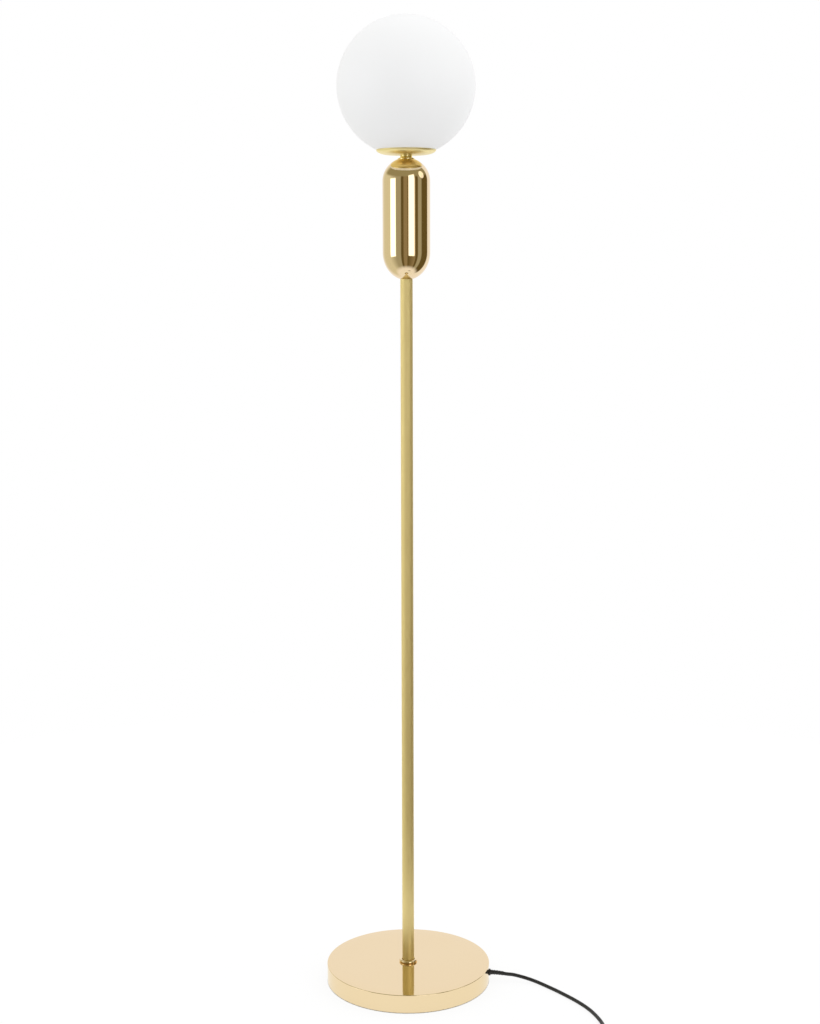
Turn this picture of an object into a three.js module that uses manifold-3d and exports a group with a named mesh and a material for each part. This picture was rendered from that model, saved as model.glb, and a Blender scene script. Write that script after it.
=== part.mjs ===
// Globe floor lamp: a weighted round base, a slim stem, a polished capsule and an opal glass globe
// Millimetres, +Z up, origin on the floor at the centre of the base, cord outlet towards +X
import * as THREE from 'three';
import { mergeVertices } from 'three/addons/utils/BufferGeometryUtils.js';
import Module from 'manifold-3d';

const wasm = await Module();
wasm.setup();

// Clearances and facets
const seatGap = 0.3;
const runGap = 0.6;
const overrun = 1;
const weldDistance = 1e-4;
const baseFacets = 48;
const globeFacets = 32;
const showFacets = 24;
const innerFacets = 16;
const smallFacets = 10;
const cordSides = 8;
const coilSides = 6;
const wireSides = 6;

// Base
const baseDiameter = 250;
const baseHeight = 28;
const coverWall = 1.2;
const coverEdge = 0.9;
const coverLift = 0.8;
const padInset = 7;
const padThickness = 1.5;
const plateThickness = 2;
const weightThickness = 10;
const weightDraft = 0.6;
const recessRadius = 16;
const recessDepth = 3;
const grooveWidth = 14;
const grooveRise = 2.7;
const grooveInset = 25;
const bossRadius = 6;
const bossInset = 50;
const plateScrews = 3;
const screwRadius = 1.6;
const screwHeadRadius = 3.6;
const screwHeadHeight = 1.5;
const screwGrip = 8;

// Threaded rods and what they clamp
const rodDiameter = 10;
const rodBore = 7;
const rodReach = 20;
const rodNutHeight = 6;
const rodNutFlats = 17;
const washerDiameter = 22;
const washerThickness = 1.5;
const rodTail = 1.4;
const bushLength = 18;

// Stem
const tubeDiameter = 18;
const tubeWall = 1;
const tubeLength = 1045;
const collarDiameter = 27.5;
const collarHeight = 4.4;
const collarRound = 2.4;

// Capsule and neck
const capsuleDiameter = 69.4;
const capsuleWall = 1.5;
const capsuleStraight = 102;
const capsuleLowerEnd = 40;
const capsuleUpperEnd = 33.2;
const spacerDiameter = 15;
const neckFlangeDiameter = 24.6;
const neckFlange = 1.2;
const neckDiameter = 17.2;
const neckHeight = 6.5;
const neckCove = 2.8;

// Dish, holder cup and clips
const dishDiameter = 86.8;
const dishFlatRadius = 27;
const dishDepth = 6.8;
const dishWall = 1.2;
const cupDiameter = 65.2;
const cupWall = 1;
const cupHeight = 13.6;
const cupCorner = 2;
const dishNutHeight = 5;
const clipCount = 3;
const clipWidth = 7;
const clipThickness = 0.5;
const clipTurn = 30;

// Glass globe
const globeDiameter = 200;
const globeHeightShare = 0.994;
const globeWall = 3;
const mouthDiameter = 72;

// Lampholder
const capDiameter = 36;
const capHeight = 13;
const capWall = 2.2;
const capFootRadius = 10;
const spigotDiameter = 33.2;
const spigotHeight = 6;
const spigotWall = 1.8;
const skirtDiameter = 39;
const skirtHeight = 40.7;
const skirtWall = 2.3;
const skirtBead = 1.2;
const skirtBeadHeight = 3;
const insulatorHeight = 5.7;
const shellBore = 27.4;
const shellWall = 0.7;
const shellHeight = 24.7;
const shellFlangeBore = 18;
const contactWidth = 6;
const contactThickness = 0.5;
const contactRise = 2.2;
const contactHalfLength = 6;
const terminalLength = 6;
const terminalWidth = 5;
const terminalHeight = 4;
const terminalOffset = 8;

// Bulb
const bulbDiameter = 60;
const bulbLength = 108;
const tipRadius = 4.6;
const tipHeight = 1.2;
const bulbInsulatorHeight = 3.6;
const bulbInsulatorRadius = 11.4;
const bulbCapDiameter = 26.2;
const bulbCapHeight = 20.6;
const bulbCapRoll = 1.6;
const bulbBodyHeight = 32;
const bulbBodyFootRadius = 14.2;
const bulbRim = 2;
const bulbDomeWall = 1.5;
const boardDiameter = 44;
const boardThickness = 1.6;

// Cord outlet in the wall of the base
const glandAngle = -4.5;
const glandHeight = 13.5;
const glandFlangeDiameter = 10.4;
const glandFlange = 2;
const glandBodyDiameter = 8.4;
const glandShoulderDiameter = 9.4;
const glandShoulder = 2.2;
const glandInside = 17;
const glandInsideTip = 6.6;
const reliefLength = 20;
const reliefRoot = 7.2;
const reliefTip = 6.2;
const reliefGrooves = 4;
const reliefGrooveDepth = 0.5;
const reliefGrooveShare = 0.025;
const reliefDip = 8.6;
const leadStraight = 5;

// Wiring inside the base and the stem
const clampLength = 9;
const clampHalfWidth = 14;
const clampDrop = 8;
const clampScrewOffset = 10.4;
const clampScrewRadius = 1.5;
const clampHeadRadius = 2.9;
const clampHeadHeight = 2;
const clampInset = 33;
const blockPlaceShare = 0.392;
const blockLength = 22;
const blockWidth = 16;
const blockHeight = 10;
const blockChamfer = 1;
const blockAcross = 5.2;
const blockAlong = 10.4;
const wireDiameter = 2;
const wireSpacing = 3;
const wireBend = 4.5;

// Mains cord outside the base
const cordDiameter = 5.4;
const coilMiddleDiameter = 64.6;
const coilTurns = 7;
const coilPitch = 6;
const coilLayerPitch = 6;
const coilStepsPerTurn = 24;
const coilOut = 93;
const coilY = -275;
const coilLeadOut = 46;
const climbTurns = 0.5;
const tieThickness = 0.6;
const tieWidth = 5;
const tieTab = 7;

// Foot switch
const switchOut = 158;
const switchY = -249;
const switchLength = 60;
const switchWidth = 30;
const switchBaseHeight = 7;
const switchCoverHeight = 10;
const switchWall = 2;
const switchEdge = 1.2;
const switchCrown = 3;
const spoutLength = 7;
const spoutRoot = 9;
const spoutTip = 7;
const switchCordHeight = 6.5;
const buttonDiameter = 20;
const buttonFlange = 1.1;
const buttonFlangeThickness = 1.5;
const buttonProud = 4;
const buttonWall = 1.8;
const buttonEdge = 1;
const springDiameter = 13;
const springWire = 1;
const springTurns = 5;
const switchScrewAt = 21;
const switchPostRadius = 3.2;
const switchScrewHead = 2.8;
const switchScrewHeadHeight = 0.9;
const switchScrewRadius = 1.3;

// Flat two-pin plug
const plugWidth = 35;
const plugThickness = 13.7;
const plugLength = 34;
const plugBackWidth = 15;
const plugShoulderShare = 0.45;
const plugEdge = 2;
const plugReliefLength = 16;
const plugReliefRoot = 11;
const plugReliefTip = 7;
const pinDiameter = 4;
const pinLength = 19;
const pinSeat = 6;
const pinSpacing = 18.6;

// Sizes worked out from those above
const baseRadius = baseDiameter / 2;
const padRadius = baseRadius - padInset;
const bossCircle = baseRadius - bossInset;
const grooveFrom = baseRadius - grooveInset;
const clampAt = baseRadius - clampInset;
const blockAt = baseRadius * blockPlaceShare;
const switchX = baseRadius + switchOut;
const coilX = baseRadius + coilOut;
const rodRadius = rodDiameter / 2;
const rodHole = rodRadius + seatGap;
const cordRadius = cordDiameter / 2;
const wireRadius = wireDiameter / 2;
const tubeRadius = tubeDiameter / 2;
const tubeInside = tubeRadius - tubeWall;
const coverInside = baseRadius - coverWall;
const wallSag = coverInside * (1 - Math.cos(Math.PI / baseFacets));
const plateTop = padThickness + plateThickness;
const weightTop = baseHeight - coverWall - seatGap;
const weightBottom = weightTop - weightThickness;
const washerTop = weightBottom + recessDepth - seatGap;
const rodNutTop = washerTop - washerThickness - seatGap;
const rodBottom = rodNutTop - rodNutHeight - rodTail;
const tubeTop = baseHeight + tubeLength;
const capsuleRadius = capsuleDiameter / 2;
const lowerSeatRadius = tubeRadius + seatGap;
const upperSeatRadius = neckFlangeDiameter / 2;
const capsuleStart = tubeTop + endHeight(capsuleLowerEnd, capsuleRadius, lowerSeatRadius);
const capsuleEnd = capsuleStart + capsuleStraight;
const capsuleTop = capsuleEnd + endHeight(capsuleUpperEnd, capsuleRadius, upperSeatRadius);
const dishBottom = capsuleTop + neckHeight;
const dishRim = dishBottom + dishDepth;
const dishRadius = dishDiameter / 2;
const cupBottom = dishBottom + dishWall + seatGap;
const dishNutBottom = cupBottom + cupWall + seatGap;
const capBottom = dishNutBottom + dishNutHeight + seatGap;
const rodTop = capBottom + capWall + overrun;
const globeRadius = globeDiameter / 2;
const globeHalfHeight = globeRadius * globeHeightShare;
const globeCentre = dishRim + endHeight(globeHalfHeight, globeRadius, dishRadius) + seatGap;
const mouthRadius = mouthDiameter / 2;
const spigotTop = capBottom + capHeight + spigotHeight;
const insulatorBottom = spigotTop + seatGap;
const insulatorTop = insulatorBottom + insulatorHeight;
const shellBottom = insulatorTop + seatGap;
const bulbTip = insulatorTop + seatGap + contactRise + contactThickness + seatGap;
const bulbCapBottom = bulbTip + tipHeight + bulbInsulatorHeight + seatGap;
const bulbBodyBottom = bulbCapBottom + bulbCapHeight + seatGap;
const bulbBodyTop = bulbBodyBottom + bulbBodyHeight;
const cordFloor = cordRadius + seatGap;
const coilFloor = cordRadius + tieThickness + seatGap + seatGap;
const coilReach = coilPitch * coilTurns / 2;
const coilOuter = coilMiddleDiameter / 2 + coilReach / 2;
const coilInner = coilOuter - coilReach;
const plugAxis = plugThickness / 2 + seatGap;
const reliefStart = baseRadius + seatGap + glandFlange;
const reliefEnd = reliefStart + reliefLength;
const reliefBendRadius = reliefLength / THREE.MathUtils.degToRad(reliefDip);
const spoutEnd = switchLength / 2 + spoutLength;

// A point of the cord's route: its distance out from the wall of the base, its place across and its height
const fromWall = ([out, across, height]) => [baseRadius + out, across, height];

// Route of the cord from the outlet to the switch: a sag down to the floor, then a wide bend
const leadRoute = [
  [36.3, -12, 10.2], [47.1, -13.9, 8.3], [57.8, -17.2, 6.4], [68.5, -22.4, 4.6],
  [78.8, -30.6, 3.5], [88.9, -41.1, 3], [98.7, -52.8, 3], [111.3, -69.1, 3],
  [123.4, -85.9, 3], [134.5, -103.6, 3], [144, -122.6, 3], [151.3, -143.3, 3],
  [155.2, -159, 3.1], [157.3, -175, 3.9], [158, -191.2, 5.5], [158, -198, 6.2], [158, -205, 6.7],
].map(fromWall);

// Route from the switch round to the coil, on the floor
const tailRoute = [
  [158, -292, 6.7], [157.1, -298.7, 6.4], [154.5, -304.9, 6], [150.4, -310.2, 5.5],
  [145.1, -314.3, 5], [138.9, -316.9, 4.6], [132.2, -317.8, 4.2], [125, -317.8, 4],
  [118, -317.8, 3.9], [111, -317.8, 3.9], [104.5, -317.8, 3.9],
].map(fromWall);

// Height of an elliptical end above its widest circle, where it has the given radius
function endHeight(semiHeight, semiWidth, radius) {
  return semiHeight * Math.sqrt(1 - (radius / semiWidth) ** 2);
}

// A curve whose sections fall evenly on its points, so that bends get as many as long straights
class KnotCurve extends THREE.CatmullRomCurve3 {
  getUtoTmapping(u) {
    return u;
  }
}

// Material of one piece
function finish(color, metalness, roughness) {
  return new THREE.MeshStandardMaterial({ color, metalness, roughness });
}
const polishedGold = () => finish(0xe6c98a, 1, 0.08);
const satinGold = () => finish(0xc9ad6a, 1, 0.3);
const steel = () => finish(0x9a9c9e, 1, 0.4);
const brass = () => finish(0xc79f4b, 1, 0.3);
const castIron = () => finish(0x3b3c3e, 0.6, 0.8);
const blackPlastic = () => finish(0x1c1c1d, 0, 0.5);
const whitePlastic = () => finish(0xefeeea, 0, 0.45);
const ceramic = () => finish(0xe9e6dd, 0, 0.35);
const opalGlass = () => finish(0xf8f8f6, 0, 0.25);
const pvc = () => finish(0x161617, 0, 0.45);

// Adds one named piece to a group
function addPiece(group, name, geometry, material) {
  const mesh = new THREE.Mesh(geometry, material);
  mesh.name = name;
  group.add(mesh);
  return mesh;
}

// Points of an elliptical arc in a plane, angles in degrees
function arc(centre, semi, from, to, steps) {
  return Array.from({ length: steps + 1 }, (_, step) => {
    const angle = THREE.MathUtils.degToRad(from + (to - from) * step / steps);
    return [centre[0] + semi[0] * Math.cos(angle), centre[1] + semi[1] * Math.sin(angle)];
  });
}

// A body turned about the Z axis, from a counterclockwise outline of radius and height
function turned(outline, facets) {
  const points = outline.map(([radius, height]) => new THREE.Vector2(radius, height));
  if (outline[0][0] > 0) points.push(points[0].clone());
  const geometry = new THREE.LatheGeometry(points, facets);
  geometry.rotateX(Math.PI / 2);
  return geometry;
}

function ring(outside, inside, bottom, top, facets) {
  return turned([[inside, bottom], [outside, bottom], [outside, top], [inside, top]], facets);
}

function disc(radius, bottom, top, facets) {
  return turned([[0, bottom], [radius, bottom], [radius, top], [0, top]], facets);
}

// A tube of even thickness along a curve
function tubeAlong(curve, radius, sides, steps) {
  const corners = Array.from({ length: sides }, (_, side) => {
    const angle = 2 * Math.PI * side / sides;
    return new THREE.Vector2(radius * Math.cos(angle), radius * Math.sin(angle));
  });
  return new THREE.ExtrudeGeometry(new THREE.Shape(corners), {
    steps, extrudePath: curve, bevelEnabled: false,
  });
}

function vectors(points) {
  return points.map((point) => new THREE.Vector3(...point));
}

// Closed solid for joining and cutting, with its corners merged and its empty triangles left out
function solidOf(geometry) {
  const bare = geometry.clone();
  bare.deleteAttribute('normal');
  bare.deleteAttribute('uv');
  const welded = mergeVertices(bare, weldDistance);
  const corners = [];
  for (let at = 0; at < welded.index.count; at += 3) {
    const [a, b, c] = [0, 1, 2].map((corner) => welded.index.getX(at + corner));
    if (a !== b && b !== c && c !== a) corners.push(a, b, c);
  }
  return new wasm.Manifold(new wasm.Mesh({
    numProp: 3,
    vertProperties: welded.attributes.position.array,
    triVerts: Uint32Array.from(corners),
  }));
}

function geometryOf(solid) {
  const mesh = solid.getMesh();
  const geometry = new THREE.BufferGeometry();
  geometry.setAttribute('position', new THREE.BufferAttribute(mesh.vertProperties, 3));
  geometry.setIndex(new THREE.BufferAttribute(mesh.triVerts, 1));
  geometry.computeVertexNormals();
  return geometry;
}

// Joins some geometries to a first one and then cuts others from it
function worked(geometry, { joined = [], cuts = [] }) {
  let solid = solidOf(geometry);
  for (const other of joined) solid = solid.add(solidOf(other));
  for (const tool of cuts) solid = solid.subtract(solidOf(tool));
  return geometryOf(solid);
}

// A round pin or hole along Z, at a place in the plane
function pinAt(x, y, radius, bottom, top, facets = smallFacets) {
  return disc(radius, bottom, top, facets).translate(x, y, 0);
}

// A round pin or hole along X
function pinAlongX(radius, from, to, height, facets) {
  return disc(radius, from, to, facets).rotateY(Math.PI / 2).translate(0, 0, height);
}

// Places evenly round a circle
function aroundCircle(count, radius, startAngle) {
  return Array.from({ length: count }, (_, index) => {
    const angle = THREE.MathUtils.degToRad(startAngle) + 2 * Math.PI * index / count;
    return [radius * Math.cos(angle), radius * Math.sin(angle)];
  });
}

function hexNut(acrossFlats, hole, bottom, height) {
  const outline = new THREE.Shape(
    aroundCircle(6, acrossFlats / Math.sqrt(3), 0).map(([x, y]) => new THREE.Vector2(x, y)),
  );
  outline.holes.push(new THREE.Path().absarc(0, 0, hole, 0, 2 * Math.PI, true));
  const geometry = new THREE.ExtrudeGeometry(outline, {
    depth: height, bevelEnabled: false, curveSegments: innerFacets,
  });
  return geometry.translate(0, 0, bottom);
}

// Base

function baseCover() {
  const corner = arc([baseRadius - coverEdge, baseHeight - coverEdge], [coverEdge, coverEdge], 0, 90, 2);
  const shell = turned([
    [coverInside, coverLift], [baseRadius, coverLift], ...corner,
    [rodHole, baseHeight], [rodHole, baseHeight - coverWall],
    [coverInside, baseHeight - coverWall],
  ], baseFacets);
  const outlet = pinAlongX(
    glandBodyDiameter / 2 + seatGap, coverInside - overrun, baseRadius + overrun, glandHeight, smallFacets,
  );
  outlet.rotateZ(THREE.MathUtils.degToRad(glandAngle));
  return worked(shell, { cuts: [outlet] });
}

function baseWeight() {
  const radius = coverInside - seatGap;
  const casting = turned([
    [rodHole, weightBottom + recessDepth], [recessRadius, weightBottom + recessDepth],
    [recessRadius, weightBottom], [radius - weightDraft, weightBottom],
    [radius, weightTop], [rodHole, weightTop],
  ], baseFacets);
  const places = aroundCircle(plateScrews, bossCircle, 90);
  const bosses = places.map(([x, y]) => (
    pinAt(x, y, bossRadius, plateTop + seatGap, weightBottom + overrun)
  ));
  const screwHoles = places.map(([x, y]) => (
    pinAt(x, y, screwRadius + seatGap, plateTop, plateTop + screwGrip + overrun)
  ));
  const grooveLength = baseRadius - grooveFrom;
  const groove = new THREE.BoxGeometry(grooveLength, grooveWidth, grooveRise + overrun);
  groove.translate(grooveFrom + grooveLength / 2, 0, weightBottom + (grooveRise - overrun) / 2);
  groove.rotateZ(THREE.MathUtils.degToRad(glandAngle));
  const clampHoles = [-clampScrewOffset, clampScrewOffset].map((offset) => {
    const hole = pinAt(
      clampAt, offset, clampScrewRadius + seatGap, weightBottom - overrun, weightBottom + screwGrip,
    );
    return hole.rotateZ(THREE.MathUtils.degToRad(glandAngle));
  });
  return worked(casting, { joined: bosses, cuts: [...screwHoles, groove, ...clampHoles] });
}

// Countersunk screw from below, or the hole for it when it gets a clearance and an overrun
function platedScrew([x, y], clearance, extra) {
  const head = padThickness + seatGap;
  const outline = [
    [0, head - extra], [screwHeadRadius + clearance, head - extra], [screwHeadRadius + clearance, head],
    [screwRadius + clearance, head + screwHeadHeight],
    [screwRadius + clearance, plateTop + screwGrip], [0, plateTop + screwGrip],
  ];
  return turned(extra > 0 ? outline : outline.toSpliced(1, 1), smallFacets).translate(x, y, 0);
}

function bottomPlate() {
  const plate = disc(coverInside - seatGap, padThickness, plateTop, baseFacets);
  const holes = aroundCircle(plateScrews, bossCircle, 90).map((place) => (
    platedScrew(place, seatGap, overrun)
  ));
  return worked(plate, { cuts: holes });
}

function addBase(lamp) {
  addPiece(lamp, 'base_cover', baseCover(), polishedGold());
  addPiece(lamp, 'base_weight', baseWeight(), castIron());
  addPiece(lamp, 'bottom_plate', bottomPlate(), blackPlastic());
  addPiece(lamp, 'base_pad', disc(padRadius, 0, padThickness, baseFacets), blackPlastic());
  aroundCircle(plateScrews, bossCircle, 90).forEach((place, index) => {
    addPiece(lamp, `plate_screw_${index + 1}`, platedScrew(place, 0, 0), steel());
  });
}

// Stem

function collar() {
  const bore = tubeRadius + seatGap;
  const middle = baseHeight + collarHeight / 2;
  const bead = arc(
    [collarDiameter / 2 - collarRound, middle], [collarRound, collarHeight / 2], -90, 90, 6,
  );
  return turned([[bore, baseHeight], ...bead, [bore, baseHeight + collarHeight]], showFacets);
}

function threadedRod(bottom, top) {
  return ring(rodRadius, rodBore / 2, bottom, top, innerFacets);
}

function addStem(lamp) {
  addPiece(lamp, 'stem_tube', ring(tubeRadius, tubeInside, baseHeight, tubeTop, showFacets), satinGold());
  addPiece(lamp, 'stem_collar', collar(), polishedGold());
  const bushRadius = tubeInside - seatGap;
  const lowerBush = ring(
    bushRadius, rodHole, baseHeight + seatGap, baseHeight + seatGap + bushLength, innerFacets,
  );
  const upperBush = ring(
    bushRadius, rodHole, tubeTop - seatGap - bushLength, tubeTop - seatGap, innerFacets,
  );
  addPiece(lamp, 'lower_bush', lowerBush, steel());
  addPiece(lamp, 'upper_bush', upperBush, steel());
  addPiece(lamp, 'base_rod', threadedRod(rodBottom, baseHeight + rodReach), steel());
  const washer = ring(
    washerDiameter / 2, rodHole, washerTop - washerThickness, washerTop, innerFacets,
  );
  addPiece(lamp, 'rod_washer', washer, steel());
  const nut = hexNut(rodNutFlats, rodHole, rodNutTop - rodNutHeight, rodNutHeight);
  addPiece(lamp, 'rod_nut', nut, steel());
}

// Capsule and neck

function capsuleShell() {
  const inside = capsuleRadius - capsuleWall;
  const lower = Math.asin(lowerSeatRadius / capsuleRadius) / Math.PI * 180 - 90;
  const upper = 90 - Math.asin(upperSeatRadius / capsuleRadius) / Math.PI * 180;
  const innerLower = Math.asin(lowerSeatRadius / inside) / Math.PI * 180 - 90;
  const innerUpper = 90 - Math.asin(upperSeatRadius / inside) / Math.PI * 180;
  const lowerWall = capsuleLowerEnd - capsuleWall;
  const upperWall = capsuleUpperEnd - capsuleWall;
  return turned([
    [rodHole, tubeTop],
    ...arc([0, capsuleStart], [capsuleRadius, capsuleLowerEnd], lower, 0, 8),
    ...arc([0, capsuleEnd], [capsuleRadius, capsuleUpperEnd], 0, upper, 8),
    [rodHole, capsuleTop], [rodHole, capsuleTop - capsuleWall],
    ...arc([0, capsuleEnd], [inside, upperWall], innerUpper, 0, 3),
    ...arc([0, capsuleStart], [inside, lowerWall], 0, innerLower, 3),
    [rodHole, tubeTop + capsuleWall],
  ], showFacets);
}

function neck() {
  const root = neckDiameter / 2;
  const foot = capsuleTop + neckFlange;
  const cove = arc([root + neckCove, foot + neckCove], [neckCove, neckCove], -90, -180, 4);
  return turned([
    [rodHole, capsuleTop], [neckFlangeDiameter / 2, capsuleTop], [neckFlangeDiameter / 2, foot],
    ...cove, [root, dishBottom], [rodHole, dishBottom],
  ], showFacets);
}

function addCapsule(lamp) {
  addPiece(lamp, 'capsule_shell', capsuleShell(), polishedGold());
  const spacer = ring(
    spacerDiameter / 2, rodHole, tubeTop + capsuleWall + seatGap,
    capsuleTop - capsuleWall - seatGap, innerFacets,
  );
  addPiece(lamp, 'capsule_spacer', spacer, steel());
  addPiece(lamp, 'capsule_rod', threadedRod(tubeTop - rodReach, rodTop), steel());
  addPiece(lamp, 'capsule_neck', neck(), polishedGold());
}

// Dish that carries the globe, and the cup with its spring clips

function dish() {
  const centre = [dishFlatRadius, dishRim];
  const reach = dishRadius - dishFlatRadius;
  return turned([
    [rodHole, dishBottom],
    ...arc(centre, [reach, dishDepth], -90, 0, 6),
    ...arc(centre, [reach - dishWall, dishDepth - dishWall], 0, -90, 4),
    [rodHole, dishBottom + dishWall],
  ], globeFacets);
}

function holderCup() {
  const radius = cupDiameter / 2;
  const top = cupBottom + cupHeight;
  return turned([
    [rodHole, cupBottom],
    ...arc([radius - cupCorner, cupBottom + cupCorner], [cupCorner, cupCorner], -90, 0, 2),
    [radius, top], [radius - cupWall, top], [radius - cupWall, cupBottom + cupWall],
    [rodHole, cupBottom + cupWall],
  ], globeFacets);
}

// Leaf spring that hangs from the rim of the cup and bows out towards the mouth of the globe
function springClip() {
  const backRadius = cupDiameter / 2 + seatGap + clipThickness / 2;
  const reachRadius = mouthRadius - runGap - clipThickness / 2;
  const top = cupBottom + cupHeight;
  const bow = reachRadius - backRadius;
  const straightShare = 0.3;
  const bulgeShare = 0.72;
  const endShare = 0.86;
  const at = (radius, share) => new THREE.Vector3(radius, 0, top - share * cupHeight);
  const curve = new THREE.CatmullRomCurve3([
    at(backRadius, 0), at(backRadius, straightShare),
    at(backRadius + bow / 2, straightShare + bulgeShare / 4),
    at(reachRadius, bulgeShare), at(backRadius + bow / 3, endShare),
  ]);
  const section = new THREE.Shape();
  section.moveTo(-clipWidth / 2, -clipThickness / 2);
  section.lineTo(clipWidth / 2, -clipThickness / 2);
  section.lineTo(clipWidth / 2, clipThickness / 2);
  section.lineTo(-clipWidth / 2, clipThickness / 2);
  section.closePath();
  return new THREE.ExtrudeGeometry(section, { steps: 10, extrudePath: curve, bevelEnabled: false });
}

function addDish(lamp) {
  addPiece(lamp, 'globe_dish', dish(), polishedGold());
  addPiece(lamp, 'holder_cup', holderCup(), steel());
  addPiece(lamp, 'dish_nut', hexNut(rodNutFlats, rodHole, dishNutBottom, dishNutHeight), steel());
  for (let index = 0; index < clipCount; index += 1) {
    const angle = clipTurn + 360 * index / clipCount;
    const clip = addPiece(lamp, `globe_clip_${index + 1}`, springClip(), steel());
    clip.rotation.z = THREE.MathUtils.degToRad(angle);
  }
}

// Lampholder

function holderCap() {
  const radius = capDiameter / 2;
  const shoulder = capBottom + capHeight;
  const spigot = spigotDiameter / 2;
  const round = radius - capFootRadius;
  return turned([
    [rodHole, capBottom],
    ...arc([capFootRadius, capBottom + round], [round, round], -90, 0, 4),
    [radius, shoulder], [spigot, shoulder], [spigot, spigotTop], [spigot - spigotWall, spigotTop],
    ...arc([capFootRadius, capBottom + round], [round - capWall, round - capWall], 0, -90, 3),
    [rodHole, capBottom + capWall],
  ], innerFacets);
}

function holderSkirt() {
  const radius = skirtDiameter / 2;
  const bottom = capBottom + capHeight + seatGap;
  const top = bottom + skirtHeight;
  const bore = spigotDiameter / 2 + seatGap;
  const beadMiddle = top - skirtBeadHeight / 2;
  return turned([
    [bore, bottom], [bore + skirtWall, bottom], [radius, top - skirtBeadHeight],
    ...arc([radius, beadMiddle], [skirtBead, skirtBeadHeight / 2], -60, 60, 3),
    [radius, top], [shellBore / 2 + shellWall + seatGap, top],
    [shellBore / 2 + shellWall + seatGap, top - skirtWall], [bore, top - skirtWall],
  ], innerFacets);
}

function screwShell() {
  const inside = shellBore / 2;
  return turned([
    [shellFlangeBore / 2, shellBottom], [inside + shellWall, shellBottom],
    [inside + shellWall, shellBottom + shellHeight], [inside, shellBottom + shellHeight],
    [inside, shellBottom + shellWall], [shellFlangeBore / 2, shellBottom + shellWall],
  ], innerFacets);
}

// Bent brass tongue that presses on the tip of the bulb
function centreContact() {
  const foot = insulatorTop + seatGap + contactThickness / 2;
  const curve = new THREE.CatmullRomCurve3(vectors([
    [-contactHalfLength, 0, foot], [-contactHalfLength / 2, 0, foot + contactRise / 3],
    [0, 0, foot + contactRise], [contactHalfLength / 2, 0, foot + contactRise * 2 / 3],
    [contactHalfLength, 0, foot],
  ]));
  const section = new THREE.Shape();
  section.moveTo(-contactWidth / 2, -contactThickness / 2);
  section.lineTo(contactWidth / 2, -contactThickness / 2);
  section.lineTo(contactWidth / 2, contactThickness / 2);
  section.lineTo(-contactWidth / 2, contactThickness / 2);
  section.closePath();
  return new THREE.ExtrudeGeometry(section, { steps: 8, extrudePath: curve, bevelEnabled: false });
}

function addLampholder(lamp) {
  addPiece(lamp, 'holder_cap', holderCap(), blackPlastic());
  addPiece(lamp, 'holder_skirt', holderSkirt(), blackPlastic());
  const insulator = disc(spigotDiameter / 2 - seatGap, insulatorBottom, insulatorTop, innerFacets);
  addPiece(lamp, 'holder_insulator', insulator, ceramic());
  addPiece(lamp, 'screw_shell', screwShell(), brass());
  addPiece(lamp, 'centre_contact', centreContact(), brass());
  ['live_terminal', 'neutral_terminal'].forEach((name, index) => {
    const terminal = new THREE.BoxGeometry(terminalLength, terminalWidth, terminalHeight);
    const side = index === 0 ? terminalOffset : -terminalOffset;
    terminal.translate(0, side, insulatorBottom - seatGap - terminalHeight / 2);
    terminal.rotateZ(THREE.MathUtils.degToRad(glandAngle));
    addPiece(lamp, name, terminal, brass());
  });
}

// Bulb

// A dome of even wall, open below, in one outline from the axis inside to the axis outside
function domeOutline(centre, radius, semiHeight, wall, mouthAngle, innerMouthAngle, steps) {
  return [
    ...arc([0, centre], [radius - wall, semiHeight - wall], 90, innerMouthAngle, steps - 2),
    ...arc([0, centre], [radius, semiHeight], mouthAngle, 90, steps),
  ].map(([x, z], index, all) => [index === 0 || index === all.length - 1 ? 0 : x, z]);
}

function bulbDome() {
  const semiHeight = bulbTip + bulbLength - bulbBodyTop - seatGap;
  const centre = bulbBodyTop + seatGap;
  return turned(
    domeOutline(centre, bulbDiameter / 2, semiHeight, bulbDomeWall, 0, 0, 8), innerFacets,
  );
}

function bulbBody() {
  const rimRadius = bulbDiameter / 2;
  const flare = arc(
    [bulbBodyFootRadius, bulbBodyTop - bulbRim],
    [rimRadius - bulbBodyFootRadius, bulbBodyHeight - bulbRim], -90, 0, 5,
  ).map(([x, z], index) => [x, index === 0 ? bulbBodyBottom : z]);
  const recess = boardDiameter / 2 + seatGap;
  return turned([
    [0, bulbBodyBottom], ...flare, [rimRadius, bulbBodyTop],
    [recess, bulbBodyTop], [recess, bulbBodyTop - boardThickness - seatGap],
    [0, bulbBodyTop - boardThickness - seatGap],
  ], innerFacets);
}

function bulbCap() {
  const radius = bulbCapDiameter / 2;
  return turned([
    [0, bulbCapBottom], [radius - bulbCapRoll, bulbCapBottom],
    [radius, bulbCapBottom + bulbCapRoll], [radius, bulbCapBottom + bulbCapHeight],
    [0, bulbCapBottom + bulbCapHeight],
  ], innerFacets);
}

function addBulb(lamp) {
  addPiece(lamp, 'bulb_dome', bulbDome(), opalGlass());
  addPiece(lamp, 'bulb_body', bulbBody(), whitePlastic());
  const boardBottom = bulbBodyTop - boardThickness;
  addPiece(lamp, 'led_board', disc(boardDiameter / 2, boardBottom, bulbBodyTop, innerFacets), ceramic());
  addPiece(lamp, 'bulb_cap', bulbCap(), steel());
  const insulatorFoot = bulbTip + tipHeight;
  const insulator = turned([
    [0, insulatorFoot], [tipRadius + seatGap, insulatorFoot],
    [bulbInsulatorRadius, bulbCapBottom - seatGap], [0, bulbCapBottom - seatGap],
  ], innerFacets);
  addPiece(lamp, 'bulb_insulator', insulator, blackPlastic());
  const tip = turned([
    [0, bulbTip], [tipRadius / 2, bulbTip], [tipRadius, insulatorFoot], [0, insulatorFoot],
  ], smallFacets);
  addPiece(lamp, 'bulb_contact', tip, steel());
}

// Glass globe

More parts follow.
